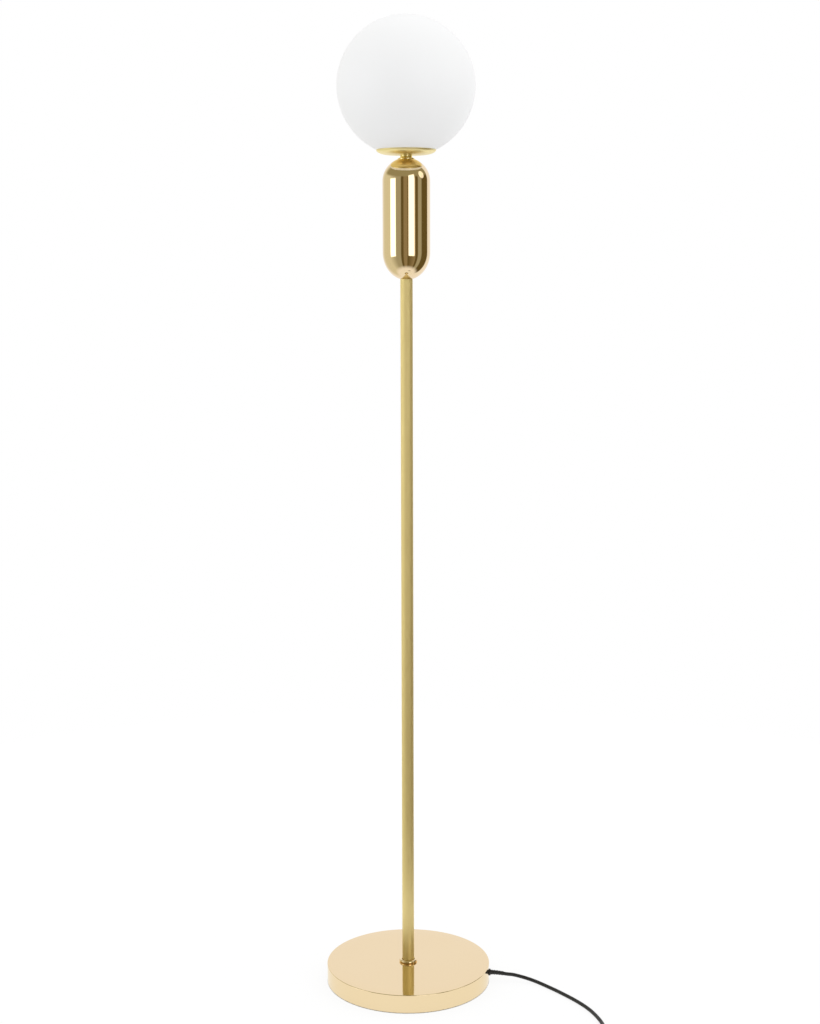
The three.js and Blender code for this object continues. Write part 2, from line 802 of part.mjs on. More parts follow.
function glassGlobe() {
  const inside = globeRadius - globeWall;
  const mouthAngle = Math.asin(mouthRadius / globeRadius) / Math.PI * 180 - 90;
  const innerMouthAngle = Math.asin(mouthRadius / inside) / Math.PI * 180 - 90;
  return turned(
    domeOutline(globeCentre, globeRadius, globeHalfHeight, globeWall, mouthAngle, innerMouthAngle, 14),
    globeFacets,
  );
}

// Wiring inside the lamp, in a group turned to face the cord outlet

// Bends the far end of a body that lies along X downwards in an even arc
function dipped(geometry, from, radius) {
  const places = geometry.attributes.position;
  for (let index = 0; index < places.count; index += 1) {
    const angle = Math.max(0, places.getX(index) - from) / radius;
    if (angle === 0) continue;
    const reach = radius + places.getZ(index);
    places.setX(index, from + reach * Math.sin(angle));
    places.setZ(index, reach * Math.cos(angle) - radius);
  }
  geometry.computeVertexNormals();
  return geometry;
}

// A point on the cord's axis past the tip of its strain relief
function pastRelief(extra) {
  const bend = THREE.MathUtils.degToRad(reliefDip);
  const outlet = THREE.MathUtils.degToRad(glandAngle);
  const out = reliefStart + reliefBendRadius * Math.sin(bend) + extra * Math.cos(bend);
  const drop = reliefBendRadius * (1 - Math.cos(bend)) + extra * Math.sin(bend);
  return [out * Math.cos(outlet), out * Math.sin(outlet), glandHeight - drop];
}

// Grooves round the strain relief, which let it bend with the cord
function reliefOutline() {
  const sunkSteps = [[-2, 0], [-1, 1], [1, 1], [2, 0]];
  return Array.from({ length: reliefGrooves }, (_, index) => (
    sunkSteps.map(([step, sunk]) => {
      const share = (index + 1) / (reliefGrooves + 1) + step * reliefGrooveShare;
      const radius = THREE.MathUtils.lerp(reliefRoot, reliefTip, share) / 2;
      return [radius - sunk * reliefGrooveDepth, reliefStart + share * reliefLength];
    })
  )).flat();
}

function cableGland() {
  const inner = coverInside - wallSag - seatGap;
  const outer = baseRadius + seatGap;
  const outline = [
    [0, inner - glandShoulder - glandInside], [glandInsideTip / 2, inner - glandShoulder - glandInside],
    [glandBodyDiameter / 2, inner - glandShoulder], [glandShoulderDiameter / 2, inner - glandShoulder],
    [glandShoulderDiameter / 2, inner], [glandBodyDiameter / 2, inner], [glandBodyDiameter / 2, outer],
    [glandFlangeDiameter / 2, outer], [glandFlangeDiameter / 2, reliefStart],
    [reliefRoot / 2, reliefStart], ...reliefOutline(), [reliefTip / 2, reliefEnd], [0, reliefEnd],
  ];
  const straight = turned(outline, innerFacets).rotateY(Math.PI / 2);
  return dipped(straight, reliefStart, reliefBendRadius).translate(0, 0, glandHeight);
}

// Saddle that presses the cord up against the weight
function cordClamp() {
  const recess = cordRadius + seatGap;
  const top = weightBottom - seatGap;
  const saddle = new THREE.Shape();
  saddle.moveTo(-clampHalfWidth, top);
  saddle.lineTo(-clampHalfWidth, top - clampDrop);
  saddle.lineTo(clampHalfWidth, top - clampDrop);
  saddle.lineTo(clampHalfWidth, top);
  saddle.lineTo(recess, top);
  saddle.absarc(0, glandHeight, recess, 0, Math.PI, true);
  saddle.lineTo(-recess, top);
  saddle.closePath();
  const body = new THREE.ExtrudeGeometry(saddle, {
    depth: clampLength, bevelEnabled: false, curveSegments: 8,
  });
  body.rotateX(Math.PI / 2).rotateZ(Math.PI / 2);
  body.translate(clampAt - clampLength / 2, 0, 0);
  const holes = [-clampScrewOffset, clampScrewOffset].map((offset) => (
    pinAt(clampAt, offset, clampScrewRadius + seatGap, top - clampDrop - overrun, top + overrun)
  ));
  return worked(body, { cuts: holes });
}

function clampScrew(offset) {
  const underside = weightBottom - seatGap - clampDrop - seatGap;
  return turned([
    [0, underside - clampHeadHeight], [clampHeadRadius, underside - clampHeadHeight],
    [clampHeadRadius, underside], [clampScrewRadius, underside],
    [clampScrewRadius, weightBottom + screwGrip - overrun], [0, weightBottom + screwGrip - overrun],
  ], smallFacets).translate(clampAt, offset, 0);
}

function terminalBlock() {
  const bottom = plateTop + seatGap;
  const half = blockLength / 2;
  const outline = new THREE.Shape();
  outline.moveTo(-half, 0);
  outline.lineTo(half, 0);
  outline.lineTo(half, blockHeight - blockChamfer);
  outline.lineTo(half - blockChamfer, blockHeight);
  outline.lineTo(-half + blockChamfer, blockHeight);
  outline.lineTo(-half, blockHeight - blockChamfer);
  outline.closePath();
  const body = new THREE.ExtrudeGeometry(outline, { depth: blockWidth, bevelEnabled: false });
  body.rotateX(Math.PI / 2).translate(blockAt, blockWidth / 2, bottom);
  const screwWells = [-1, 1].flatMap((along) => [-1, 1].map((across) => pinAt(
    blockAt + along * blockAlong / 2, across * blockAcross / 2, screwRadius,
    bottom + blockHeight / 2, bottom + blockHeight + overrun, wireSides,
  )));
  return worked(body, { cuts: screwWells });
}

function coreWire(side) {
  const across = side * wireSpacing / 2;
  const start = blockAt - blockLength / 2 - seatGap;
  const middle = plateTop + seatGap + blockHeight / 2;
  const low = rodBottom - wireBend / 2;
  const bent = (1 - Math.SQRT1_2) * wireBend;
  const terminal = insulatorBottom - seatGap - terminalHeight - seatGap;
  const spread = side * terminalOffset;
  const entry = side * blockAcross / 2;
  const curve = new KnotCurve(vectors([
    [start, entry, middle], [start - wireDiameter, entry, middle],
    [start / 2, across, low + wireDiameter / 4], [2 * wireBend, across, low], [wireBend, across, low],
    [bent, across, low + bent], [0, across, low + wireBend], [0, across, baseHeight],
    [0, across, tubeTop], [0, across, rodTop - wireDiameter], [0, across, rodTop],
    [0, (across + spread) / 2, (rodTop + terminal) / 2], [0, spread, terminal - wireDiameter],
    [0, spread, terminal],
  ]));
  return tubeAlong(curve, wireRadius, wireSides, 20);
}

function innerCord() {
  const from = coverInside - wallSag - seatGap - glandShoulder - glandInside - seatGap;
  const to = blockAt + blockLength / 2 + seatGap;
  const low = plateTop + seatGap + blockHeight / 2;
  const curve = new THREE.CatmullRomCurve3(vectors([
    [from, 0, glandHeight], [from - cordDiameter, 0, glandHeight], [clampAt, 0, glandHeight],
    [clampAt - 2 * cordDiameter, 0, glandHeight], [to + 2 * cordDiameter, 0, low],
    [to + cordDiameter, 0, low], [to, 0, low],
  ]), false, 'centripetal');
  return tubeAlong(curve, cordRadius, cordSides, 12);
}

function addWiring(lamp) {
  const line = new THREE.Group();
  line.rotation.z = THREE.MathUtils.degToRad(glandAngle);
  lamp.add(line);
  addPiece(line, 'cable_gland', cableGland(), pvc());
  addPiece(line, 'inner_cord', innerCord(), pvc());
  addPiece(line, 'cord_clamp', cordClamp(), blackPlastic());
  addPiece(line, 'clamp_screw_1', clampScrew(clampScrewOffset), steel());
  addPiece(line, 'clamp_screw_2', clampScrew(-clampScrewOffset), steel());
  addPiece(line, 'terminal_block', terminalBlock(), whitePlastic());
  addPiece(line, 'live_wire', coreWire(1), finish(0x6b3f22, 0, 0.5));
  addPiece(line, 'neutral_wire', coreWire(-1), finish(0x2f5aa0, 0, 0.5));
}

// Foot switch, built along X from its cord ends, with its underside at zero

function stadium(length, width) {
  const straight = (length - width) / 2;
  const outline = new THREE.Shape();
  outline.moveTo(-straight, -width / 2);
  outline.lineTo(straight, -width / 2);
  outline.absarc(straight, 0, width / 2, -Math.PI / 2, Math.PI / 2, false);
  outline.lineTo(-straight, width / 2);
  outline.absarc(-straight, 0, width / 2, Math.PI / 2, 3 * Math.PI / 2, false);
  return outline;
}

// A stadium block whose upper rim is rounded over, from the floor of the block to its top
function roundedBlock(length, width, height, edge, edgeSteps) {
  const inset = stadium(length - 2 * edge, width - 2 * edge);
  const block = new THREE.ExtrudeGeometry(inset, {
    depth: height - edge, bevelEnabled: true, bevelThickness: edge, bevelSize: edge,
    bevelSegments: edgeSteps, curveSegments: 5,
  });
  const underside = new THREE.BoxGeometry(2 * length, 2 * width, 2 * edge);
  return worked(block, { cuts: [underside.translate(0, 0, -edge)] });
}

function spouts(radiusRoot, radiusTip, extra) {
  const root = switchLength / 2 - switchWall;
  return [0, Math.PI].map((turn) => {
    const cone = turned([
      [0, root], [radiusRoot, root], [radiusTip, spoutEnd + extra], [0, spoutEnd + extra],
    ], smallFacets);
    return cone.rotateY(Math.PI / 2).translate(0, 0, switchCordHeight).rotateZ(turn);
  });
}

function switchPosts(bottom, top, radius) {
  return [-switchScrewAt, switchScrewAt].map((x) => pinAt(x, 0, radius, bottom, top));
}

function switchBase() {
  const block = roundedBlock(switchLength, switchWidth, switchBaseHeight, switchEdge, 2);
  block.rotateX(Math.PI).translate(0, 0, switchBaseHeight);
  const cavity = new THREE.ExtrudeGeometry(
    stadium(switchLength - 2 * switchWall, switchWidth - 2 * switchWall),
    { depth: switchBaseHeight, bevelEnabled: false, curveSegments: 5 },
  ).translate(0, 0, switchWall);
  const tray = worked(block, { cuts: [cavity] });
  const screwHoles = switchPosts(-overrun, switchWall + overrun, switchScrewRadius + seatGap);
  const headWells = switchPosts(-overrun, switchScrewHeadHeight + seatGap, switchScrewHead + seatGap);
  return worked(tray, {
    joined: spouts(spoutRoot / 2, spoutTip / 2, 0), cuts: [...screwHoles, ...headWells],
  });
}

function switchCover() {
  const foot = switchBaseHeight + seatGap;
  const block = roundedBlock(switchLength, switchWidth, switchCoverHeight, switchCrown, 2);
  block.translate(0, 0, foot);
  const cavity = new THREE.ExtrudeGeometry(
    stadium(switchLength - 2 * switchWall - switchCrown / 2, switchWidth - 2 * switchWall - switchCrown / 2),
    { depth: switchCoverHeight - switchWall + overrun, bevelEnabled: false, curveSegments: 5 },
  ).translate(0, 0, foot - overrun);
  const shell = worked(block, { cuts: [cavity] });
  const ceiling = foot + switchCoverHeight - switchWall;
  const posts = switchPosts(switchWall + seatGap, ceiling + overrun / 2, switchPostRadius);
  const threads = switchPosts(
    switchWall, foot + switchCoverHeight / 2 + overrun, switchScrewRadius + seatGap,
  );
  const buttonHole = pinAt(
    0, 0, buttonDiameter / 2 + runGap, ceiling - overrun, foot + switchCoverHeight + overrun, showFacets,
  );
  const notches = spouts(spoutRoot / 2 + seatGap, spoutTip / 2 + seatGap, overrun);
  return worked(shell, { joined: posts, cuts: [...threads, buttonHole, ...notches] });
}

// Round push button, hollow below, with a flange that stops under the cover
function switchButton() {
  const radius = buttonDiameter / 2;
  const ceiling = switchBaseHeight + seatGap + switchCoverHeight - switchWall;
  const flangeTop = ceiling - seatGap;
  const flangeBottom = flangeTop - buttonFlangeThickness;
  const top = switchBaseHeight + seatGap + switchCoverHeight + buttonProud;
  const flange = radius + runGap + buttonFlange;
  return turned([
    [0, top - buttonWall], [radius - buttonWall, top - buttonWall], [radius - buttonWall, flangeBottom],
    [flange, flangeBottom], [flange, flangeTop], [radius, flangeTop],
    ...arc([radius - buttonEdge, top - buttonEdge], [buttonEdge, buttonEdge], 0, 90, 3), [0, top],
  ], showFacets);
}

function switchSpring() {
  const bottom = switchWall + seatGap + springWire / 2;
  const top = switchBaseHeight + switchCoverHeight + buttonProud - buttonWall - springWire / 2;
  const radius = springDiameter / 2;
  const stepsPerTurn = 8;
  const count = springTurns * stepsPerTurn;
  const points = Array.from({ length: count + 1 }, (_, step) => {
    const angle = 2 * Math.PI * step / stepsPerTurn;
    const height = bottom + (top - bottom) * step / count;
    return new THREE.Vector3(radius * Math.cos(angle), radius * Math.sin(angle), height);
  });
  return tubeAlong(new KnotCurve(points), springWire / 2, 5, count);
}

function switchScrew(x) {
  const tip = switchBaseHeight + switchCoverHeight / 2;
  return turned([
    [0, 0], [switchScrewHead, 0], [switchScrewHead, switchScrewHeadHeight],
    [switchScrewRadius, switchScrewHeadHeight], [switchScrewRadius, tip], [0, tip],
  ], smallFacets).translate(x, 0, 0);
}

function addSwitch(lamp) {
  const unit = new THREE.Group();
  unit.position.set(switchX, switchY, seatGap);
  unit.rotation.z = -Math.PI / 2;
  lamp.add(unit);
  addPiece(unit, 'switch_base', switchBase(), blackPlastic());
  addPiece(unit, 'switch_cover', switchCover(), blackPlastic());
  addPiece(unit, 'switch_button', switchButton(), blackPlastic());
  addPiece(unit, 'switch_spring', switchSpring(), steel());
  addPiece(unit, 'switch_screw_1', switchScrew(switchScrewAt), steel());
  addPiece(unit, 'switch_screw_2', switchScrew(-switchScrewAt), steel());
}

// Plug, built along X from the tip of its strain relief to its pins

function plugBody() {
  const front = plugReliefLength + plugLength;
  const shoulder = plugReliefLength + plugLength * plugShoulderShare;
  const half = plugWidth / 2 - plugEdge;
  const back = plugBackWidth / 2 - plugEdge;
  const outline = new THREE.Shape();
  outline.moveTo(plugReliefLength + plugEdge, -back);
  outline.lineTo(shoulder, -half);
  outline.lineTo(front - plugEdge, -half);
  outline.lineTo(front - plugEdge, half);
  outline.lineTo(shoulder, half);
  outline.lineTo(plugReliefLength + plugEdge, back);
  outline.closePath();
  const body = new THREE.ExtrudeGeometry(outline, {
    depth: plugThickness - 2 * plugEdge, bevelEnabled: true, bevelThickness: plugEdge,
    bevelSize: plugEdge, bevelSegments: 2,
  }).translate(0, 0, plugEdge - plugThickness / 2);
  const relief = turned([
    [0, 0], [plugReliefTip / 2, 0], [plugReliefRoot / 2, plugReliefLength + plugEdge + overrun],
    [0, plugReliefLength + plugEdge + overrun],
  ], smallFacets).rotateY(Math.PI / 2);
  const sockets = [-pinSpacing / 2, pinSpacing / 2].map((offset) => pinAlongX(
    pinDiameter / 2 + seatGap, front - pinSeat, front + overrun, 0, smallFacets,
  ).translate(0, offset, 0));
  return worked(body, { joined: [relief], cuts: sockets });
}

function plugPin(offset) {
  const from = plugReliefLength + plugLength - pinSeat + seatGap;
  const to = plugReliefLength + plugLength + pinLength;
  const radius = pinDiameter / 2;
  return turned([
    [0, from], [radius, from], ...arc([0, to - radius], [radius, radius], 0, 90, 3).slice(0, -1), [0, to],
  ], smallFacets).rotateY(Math.PI / 2).translate(0, offset, 0);
}

function addPlug(lamp, end) {
  const unit = new THREE.Group();
  unit.position.set(end.x - seatGap, end.y, end.z);
  unit.rotation.z = Math.PI;
  lamp.add(unit);
  addPiece(unit, 'plug_body', plugBody(), blackPlastic());
  addPiece(unit, 'plug_pin_1', plugPin(pinSpacing / 2), brass());
  addPiece(unit, 'plug_pin_2', plugPin(-pinSpacing / 2), brass());
}

// Coil: two flat layers of turns, inwards below and outwards above, with a climb where they reverse

function coilPoints() {
  const points = [];
  const low = coilFloor;
  const high = coilFloor + coilLayerPitch;
  points.push([coilX + cordDiameter, coilY - coilOuter, low]);
  const count = coilTurns * coilStepsPerTurn;
  for (let step = 0; step <= count; step += 1) {
    const turn = step / coilStepsPerTurn;
    const radius = coilOuter - coilPitch * Math.min(turn, coilTurns - turn);
    const climbed = THREE.MathUtils.smoothstep(
      turn, (coilTurns - climbTurns) / 2, (coilTurns + climbTurns) / 2,
    );
    const angle = -Math.PI / 2 - 2 * Math.PI * turn;
    points.push([
      coilX + radius * Math.cos(angle), coilY + radius * Math.sin(angle), low + (high - low) * climbed,
    ]);
  }
  const straight = coilLeadOut - cordDiameter;
  const descentSteps = 6;
  const sinkStartShare = 0.45;
  const sinkEndShare = 0.95;
  for (let step = 1; step <= descentSteps; step += 1) {
    const share = step / descentSteps;
    const sunk = THREE.MathUtils.smoothstep(share, sinkStartShare, sinkEndShare);
    points.push([coilX - straight * share, coilY - coilOuter, high + (plugAxis - high) * sunk]);
  }
  points.push([coilX - coilLeadOut, coilY - coilOuter, plugAxis]);
  return points;
}

// Least distance between the surfaces of two parts of one cord that aren't neighbours along it
function leastGap(curve, diameter, samples) {
  const points = curve.getSpacedPoints(samples);
  const step = curve.getLength() / samples;
  const apart = Math.ceil(4 * diameter / step);
  let least = Infinity;
  for (let a = 0; a < points.length; a += 1) {
    for (let b = a + apart; b < points.length; b += 1) {
      least = Math.min(least, points[a].distanceTo(points[b]));
    }
  }
  return least - diameter;
}

function coilTie() {
  const inner = coilInner - cordRadius - seatGap;
  const outer = coilOuter + cordRadius + seatGap;
  const bottom = coilFloor - cordRadius - seatGap;
  const top = coilFloor + coilLayerPitch + cordRadius + seatGap;
  const loop = (grow) => {
    const outline = new THREE.Path();
    outline.moveTo(inner - grow, bottom - grow);
    outline.lineTo(outer + grow, bottom - grow);
    outline.lineTo(outer + grow, top + grow);
    outline.lineTo(inner - grow, top + grow);
    outline.closePath();
    return outline;
  };
  const band = new THREE.Shape(loop(tieThickness).getPoints());
  band.holes.push(loop(0));
  const strap = new THREE.ExtrudeGeometry(band, { depth: tieWidth, bevelEnabled: false });
  const tab = new THREE.BoxGeometry(tieThickness, tieTab, tieWidth);
  tab.translate((inner + outer) / 2, top + tieThickness / 2 + tieTab / 2, tieWidth / 2);
  const tie = worked(strap, { joined: [tab] });
  tie.rotateX(Math.PI / 2).translate(0, tieWidth / 2, 0);
  return tie.rotateZ(Math.PI).translate(coilX, coilY, 0);
}

function addCord(lamp) {
  const switchLevel = switchCordHeight + seatGap;
  const lead = new THREE.CatmullRomCurve3(vectors([
    pastRelief(seatGap), pastRelief(leadStraight), ...leadRoute,
    [switchX, switchY + spoutEnd + seatGap, switchLevel],
  ]), false, 'centripetal');
  addPiece(lamp, 'cord_lead', tubeAlong(lead, cordRadius, cordSides, 24), pvc());

  const turns = coilPoints();
  const tail = new THREE.CatmullRomCurve3(vectors([
    [switchX, switchY - spoutEnd - seatGap, switchLevel], ...tailRoute,
    [turns[0][0] + seatGap, turns[0][1], turns[0][2]],
  ]), false, 'centripetal');
  addPiece(lamp, 'cord_tail', tubeAlong(tail, cordRadius, cordSides, 14), pvc());

  const coil = new THREE.CatmullRomCurve3(vectors(turns), false, 'centripetal');
  coil.arcLengthDivisions = turns.length * 12;
  const steps = Math.round(coil.getLength() / (Math.PI * coilMiddleDiameter / coilStepsPerTurn));
  addPiece(lamp, 'cord_coil', tubeAlong(coil, cordRadius, coilSides, steps), pvc());
  addPiece(lamp, 'coil_tie', coilTie(), blackPlastic());
  addPlug(lamp, coil.getPoint(1));

  const gap = leastGap(coil, cordDiameter, turns.length * 6);
  const lengths = [lead, tail, coil].map((curve) => Math.round(curve.getLength()));
  console.log(`Cord stretches ${lengths.join(', ')} mm, least gap of the coil ${gap.toFixed(2)} mm`);
}

const lamp = new THREE.Group();
addBase(lamp);
addStem(lamp);
addCapsule(lamp);
addDish(lamp);
addLampholder(lamp);
addBulb(lamp);
addPiece(lamp, 'glass_globe', glassGlobe(), opalGlass());
addWiring(lamp);
addCord(lamp);
addSwitch(lamp);

export default lamp;
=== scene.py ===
"""Globe floor lamp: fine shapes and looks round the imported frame. Metres, +Z up, photographed from -Y."""
import math

import bpy
import numpy as np
from mathutils import Matrix


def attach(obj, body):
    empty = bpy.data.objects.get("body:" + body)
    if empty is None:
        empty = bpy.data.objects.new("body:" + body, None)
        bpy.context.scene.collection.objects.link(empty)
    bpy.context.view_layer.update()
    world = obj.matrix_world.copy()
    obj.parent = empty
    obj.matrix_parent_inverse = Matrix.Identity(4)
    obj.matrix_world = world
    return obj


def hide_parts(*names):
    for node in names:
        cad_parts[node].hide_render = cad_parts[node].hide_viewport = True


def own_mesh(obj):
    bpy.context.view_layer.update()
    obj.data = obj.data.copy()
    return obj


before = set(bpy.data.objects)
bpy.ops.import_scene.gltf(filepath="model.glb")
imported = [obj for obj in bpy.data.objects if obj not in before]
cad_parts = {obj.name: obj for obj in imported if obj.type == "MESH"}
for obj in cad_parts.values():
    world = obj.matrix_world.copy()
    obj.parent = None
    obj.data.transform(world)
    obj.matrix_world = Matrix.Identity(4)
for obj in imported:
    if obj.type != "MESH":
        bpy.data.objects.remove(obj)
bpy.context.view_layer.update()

# Sizes in metres, as the solids have them
SEAT = 0.0003
BASE_R = 0.125
BASE_TOP = 0.028
COVER_WALL = 0.0012
COVER_LIFT = 0.0008
PAD_R = 0.118
PAD_T = 0.0015
ROD_HOLE = 0.0053
TUBE_R = 0.009
TUBE_WALL = 0.001
TUBE_TOP = 1.073
COLLAR_R = 0.01375
COLLAR_H = 0.0044
CAPSULE_R = 0.0347
CAPSULE_WALL = 0.0015
CAPSULE_LOW = 0.04
CAPSULE_HIGH = 0.0332
CAPSULE_STRAIGHT = 0.102
NECK_FLANGE_R = 0.0123
NECK_FLANGE_H = 0.0012
NECK_ROUND = 0.0028
NECK_R = 0.0086
NECK_H = 0.0065
DISH_R = 0.0434
DISH_FLAT = 0.027
DISH_HUB = 0.018
DISH_DEPTH = 0.0068
DISH_WALL = 0.0012
CUP_R = 0.0326
CUP_H = 0.0136
CUP_WALL = 0.001
CUP_ROUND = 0.002
CLIP_HALF = 0.00025
CLIP_PLAY = 0.0006
GLOBE_R = 0.1
GLOBE_HALF = 0.0994
GLOBE_WALL = 0.003
MOUTH_R = 0.036
NUT_FLATS = 0.017
HEAD_NUT_H, FOOT_NUT_H = 0.005, 0.006
SCREW_PITCH = 0.0036
CORD_D = 0.0054
OUTLET_TURN = math.radians(-4.5)
OUTLET_Z = 0.0135
RELIEF_START = 0.1273
RELIEF_LENGTH = 0.020
RELIEF_DIP = math.radians(8.6)
RELIEF_BEND = RELIEF_LENGTH / RELIEF_DIP
CORD_IN_RELIEF = 0.0025
LEAD_STRAIGHT = 0.005
SWITCH_X, SWITCH_Y = 0.283, -0.249
SWITCH_LENGTH, SWITCH_WIDTH = 0.06, 0.030
SWITCH_LEVEL = 0.0068
SPOUT_START, SPOUT_END = 0.0285, 0.037
BUTTON_TOP = 0.0216
SPRING_FOOT, SPRING_HEAD, SPRING_WIRE = 0.0026, 0.0195, 0.001
SPRING_R, SPRING_TURNS = 0.0065, 5
COIL_X, COIL_Y = 0.218, -0.275
COIL_MIDDLE = 0.0646
COIL_TURNS = 7
COIL_PITCH = 0.006
COIL_LAYER = 0.006
COIL_FLOOR = 0.0039
COIL_LEAD = 0.046
PLUG_AXIS = 0.00715
PIN_R, PIN_Y = 0.002, 0.0093


def end_height(semi_height, semi_width, radius):
    """Height over an ellipse's widest place, where it has the given radius: b root(1 - (r/a) squared)."""
    return semi_height * math.sqrt(1 - (radius / semi_width) ** 2)


CAPSULE_START = TUBE_TOP + end_height(CAPSULE_LOW, CAPSULE_R, TUBE_R + SEAT)
CAPSULE_END = CAPSULE_START + CAPSULE_STRAIGHT
CAPSULE_TOP = CAPSULE_END + end_height(CAPSULE_HIGH, CAPSULE_R, NECK_FLANGE_R)
DISH_BOTTOM = CAPSULE_TOP + NECK_H
DISH_RIM = DISH_BOTTOM + DISH_DEPTH
GLOBE_Z = DISH_RIM + end_height(GLOBE_HALF, GLOBE_R, DISH_R) + SEAT
CUP_BOTTOM = DISH_BOTTOM + DISH_WALL + SEAT
CUP_TOP = CUP_BOTTOM + CUP_H
COIL_OUT = COIL_MIDDLE / 2 + COIL_PITCH * COIL_TURNS / 4
COIL_IN = COIL_OUT - COIL_PITCH * COIL_TURNS / 2
BUNDLE_LOW = COIL_FLOOR - CORD_D / 2 - SEAT
BUNDLE_HIGH = COIL_FLOOR + COIL_LAYER + CORD_D / 2 + SEAT


# Bodies, each as a pair of points and faces

def around(radius, angle, height):
    """Points (r cos t, r sin t, z), for numbers or arrays that fit each other."""
    return np.stack(np.broadcast_arrays(radius * np.cos(angle), radius * np.sin(angle), height), -1)


def full_turn(sides):
    """Angles of points spread evenly round a circle."""
    return np.arange(sides) * 2 * np.pi / sides


def circle(radius, sides):
    return around(radius, full_turn(sides), 0)[:, :2]


def rectangle(a, b):
    """Corners of the rectangle from -a to a and from -b to b, counterclockwise."""
    return [(-a, -b), (a, -b), (a, b), (-a, b)]


def arc(centre, semi, start, stop, steps):
    """Points of an arc: centre + (a cos t, b sin t), t in degrees. The half axes are a pair or one radius."""
    a, b = np.broadcast_to(semi, 2)
    t = np.radians(np.linspace(start, stop, steps + 1))
    return list(zip(centre[0] + a * np.cos(t), centre[1] + b * np.sin(t)))


def quarter_round(edge, steps):
    """A rounded rim: how far it is drawn in, e (1 - cos t), and how far it has risen, e sin t."""
    t = np.linspace(0, np.pi / 2, steps + 1)
    return edge * (1 - np.cos(t)), edge * np.sin(t)


def smoothstep(x, low, high):
    """Rises from 0 to 1 between low and high: x x (3 - 2 x) of the share x."""
    x = np.clip((x - low) / (high - low), 0, 1)
    return x * x * (3 - 2 * x)


def unit(vectors):
    return vectors / np.linalg.norm(vectors, axis=-1, keepdims=True)


def ring_body(rings, closed=False, poles=None):
    """A body of rings of equally many points. A closed one joins its last ring to its first. Any other has a
    fan at each end, to the given poles or to the middle of the ring."""
    rings = np.asarray(rings, float)
    count, sides = rings.shape[:2]
    row, column = np.mgrid[:count if closed else count - 1, :sides]
    row2, column2 = (row + 1) % count, (column + 1) % sides
    quads = np.stack([row * sides + column, row * sides + column2, row2 * sides + column2,
                      row2 * sides + column], -1)
    points, faces = rings.reshape(-1, 3), [tuple(q) for q in quads.reshape(-1, 4).tolist()]
    if closed:
        return points, faces
    low, high = poles or (rings[0].mean(0), rings[-1].mean(0))
    last, end = (count - 1) * sides, count * sides
    for k in range(sides):
        k2 = (k + 1) % sides
        faces += [(end, k2, k), (end + 1, last + k, last + k2)]
    return np.vstack([points, low, high]), faces


def turned_body(profile, segments):
    """Profile points (r, z) carried round the Z axis. A profile that starts on the axis has a pole at each
    end, and any other is closed."""
    profile = np.asarray(profile, float)
    closed = bool(profile[0, 0] > 0)
    body = profile if closed else profile[1:-1]
    poles = None if closed else [(0, 0, profile[0, 1]), (0, 0, profile[-1, 1])]
    return ring_body(around(body[:, :1], full_turn(segments), body[:, 1:]), closed, poles)


def carried_body(path, section, side, up, closed=False):
    """A section (u, v) carried along a path: point + u side + v up."""
    u, v = section[:, :1], section[:, 1:]
    return ring_body(path[:, None] + u * side[:, None] + v * up[:, None], closed)


def swept_body(path, section, scale=1.0):
    """A section carried along a path and scaled at each point. Its side is carried on without twist."""
    tangent = unit(np.gradient(path, axis=0))
    level = (0, 0, 1.0) if abs(tangent[0, 2]) < 0.9 else (0, 1.0, 0)
    side = np.zeros_like(path)
    side[0] = unit(np.cross(tangent[0], level))
    for k in range(1, len(path)):
        side[k] = unit(side[k - 1] - tangent[k] * (side[k - 1] @ tangent[k]))
    scale = np.reshape(scale, (-1, 1))
    return carried_body(path, section, scale * side, scale * np.cross(side, tangent))


def shift(x, y, z):
    return Matrix.Translation((x, y, z))


def spin(angle, axis):
    return Matrix.Rotation(angle, 4, axis)


def placed(body, matrix):
    """A body carried by a 4 x 4 matrix."""
    points, faces = body
    m = np.asarray(matrix, float)
    return points @ m[:3, :3].T + m[:3, 3], faces


def turned_about_z(points, angle):
    """Points turned counterclockwise round the Z axis, seen from above."""
    c, s = math.cos(angle), math.sin(angle)
    return np.stack([c * points[:, 0] - s * points[:, 1], s * points[:, 0] + c * points[:, 1],
                     points[:, 2]], -1)


def eased(outline, radius, steps):
    """Every corner of a closed outline is replaced by a quadratic curve that starts and ends one radius from
    it, or less on a short side: p = (1-u)^2 a + 2u(1-u) corner + u^2 b."""
    outline = np.asarray(outline, float)
    u = np.linspace(0, 1, steps + 1)[:, None]
    result = []
    for before, corner, after in zip(np.roll(outline, 1, 0), outline, np.roll(outline, -1, 0)):
        a, b = before - corner, after - corner
        cut = min(radius, 0.45 * np.linalg.norm(a), 0.45 * np.linalg.norm(b))
        start, stop = corner + unit(a) * cut, corner + unit(b) * cut
        result.append((1 - u) ** 2 * start + 2 * u * (1 - u) * corner + u * u * stop)
    return np.vstack(result)


def through(points, per_span):
    """A smooth curve through the points, sampled evenly in each span: nested straight blends between knots,
    which lie the root of each chord apart."""
    p = np.asarray(points, float)
    p = np.vstack([2 * p[0] - p[1], p, 2 * p[-1] - p[-2]])
    out = []
    for k in range(len(p) - 3):
        near = p[k:k + 4]
        knot = np.append(0, np.cumsum(np.sqrt(np.linalg.norm(np.diff(near, axis=0), axis=1))))
        t = np.linspace(knot[1], knot[2], per_span, endpoint=False)[:, None]

        def blend(i, j, first, second):
            return ((knot[j] - t) * first + (t - knot[i]) * second) / (knot[j] - knot[i])

        a = [blend(i, i + 1, near[i], near[i + 1]) for i in range(3)]
        b = [blend(i, i + 2, a[i], a[i + 1]) for i in range(2)]
        out.append(blend(1, 2, *b))
    return np.vstack([*out, p[-2]])


# Pieces, as meshes in the scene

def in_scene(name, data):
    thing = bpy.data.objects.new(name, data)
    bpy.context.scene.collection.objects.link(thing)
    return thing


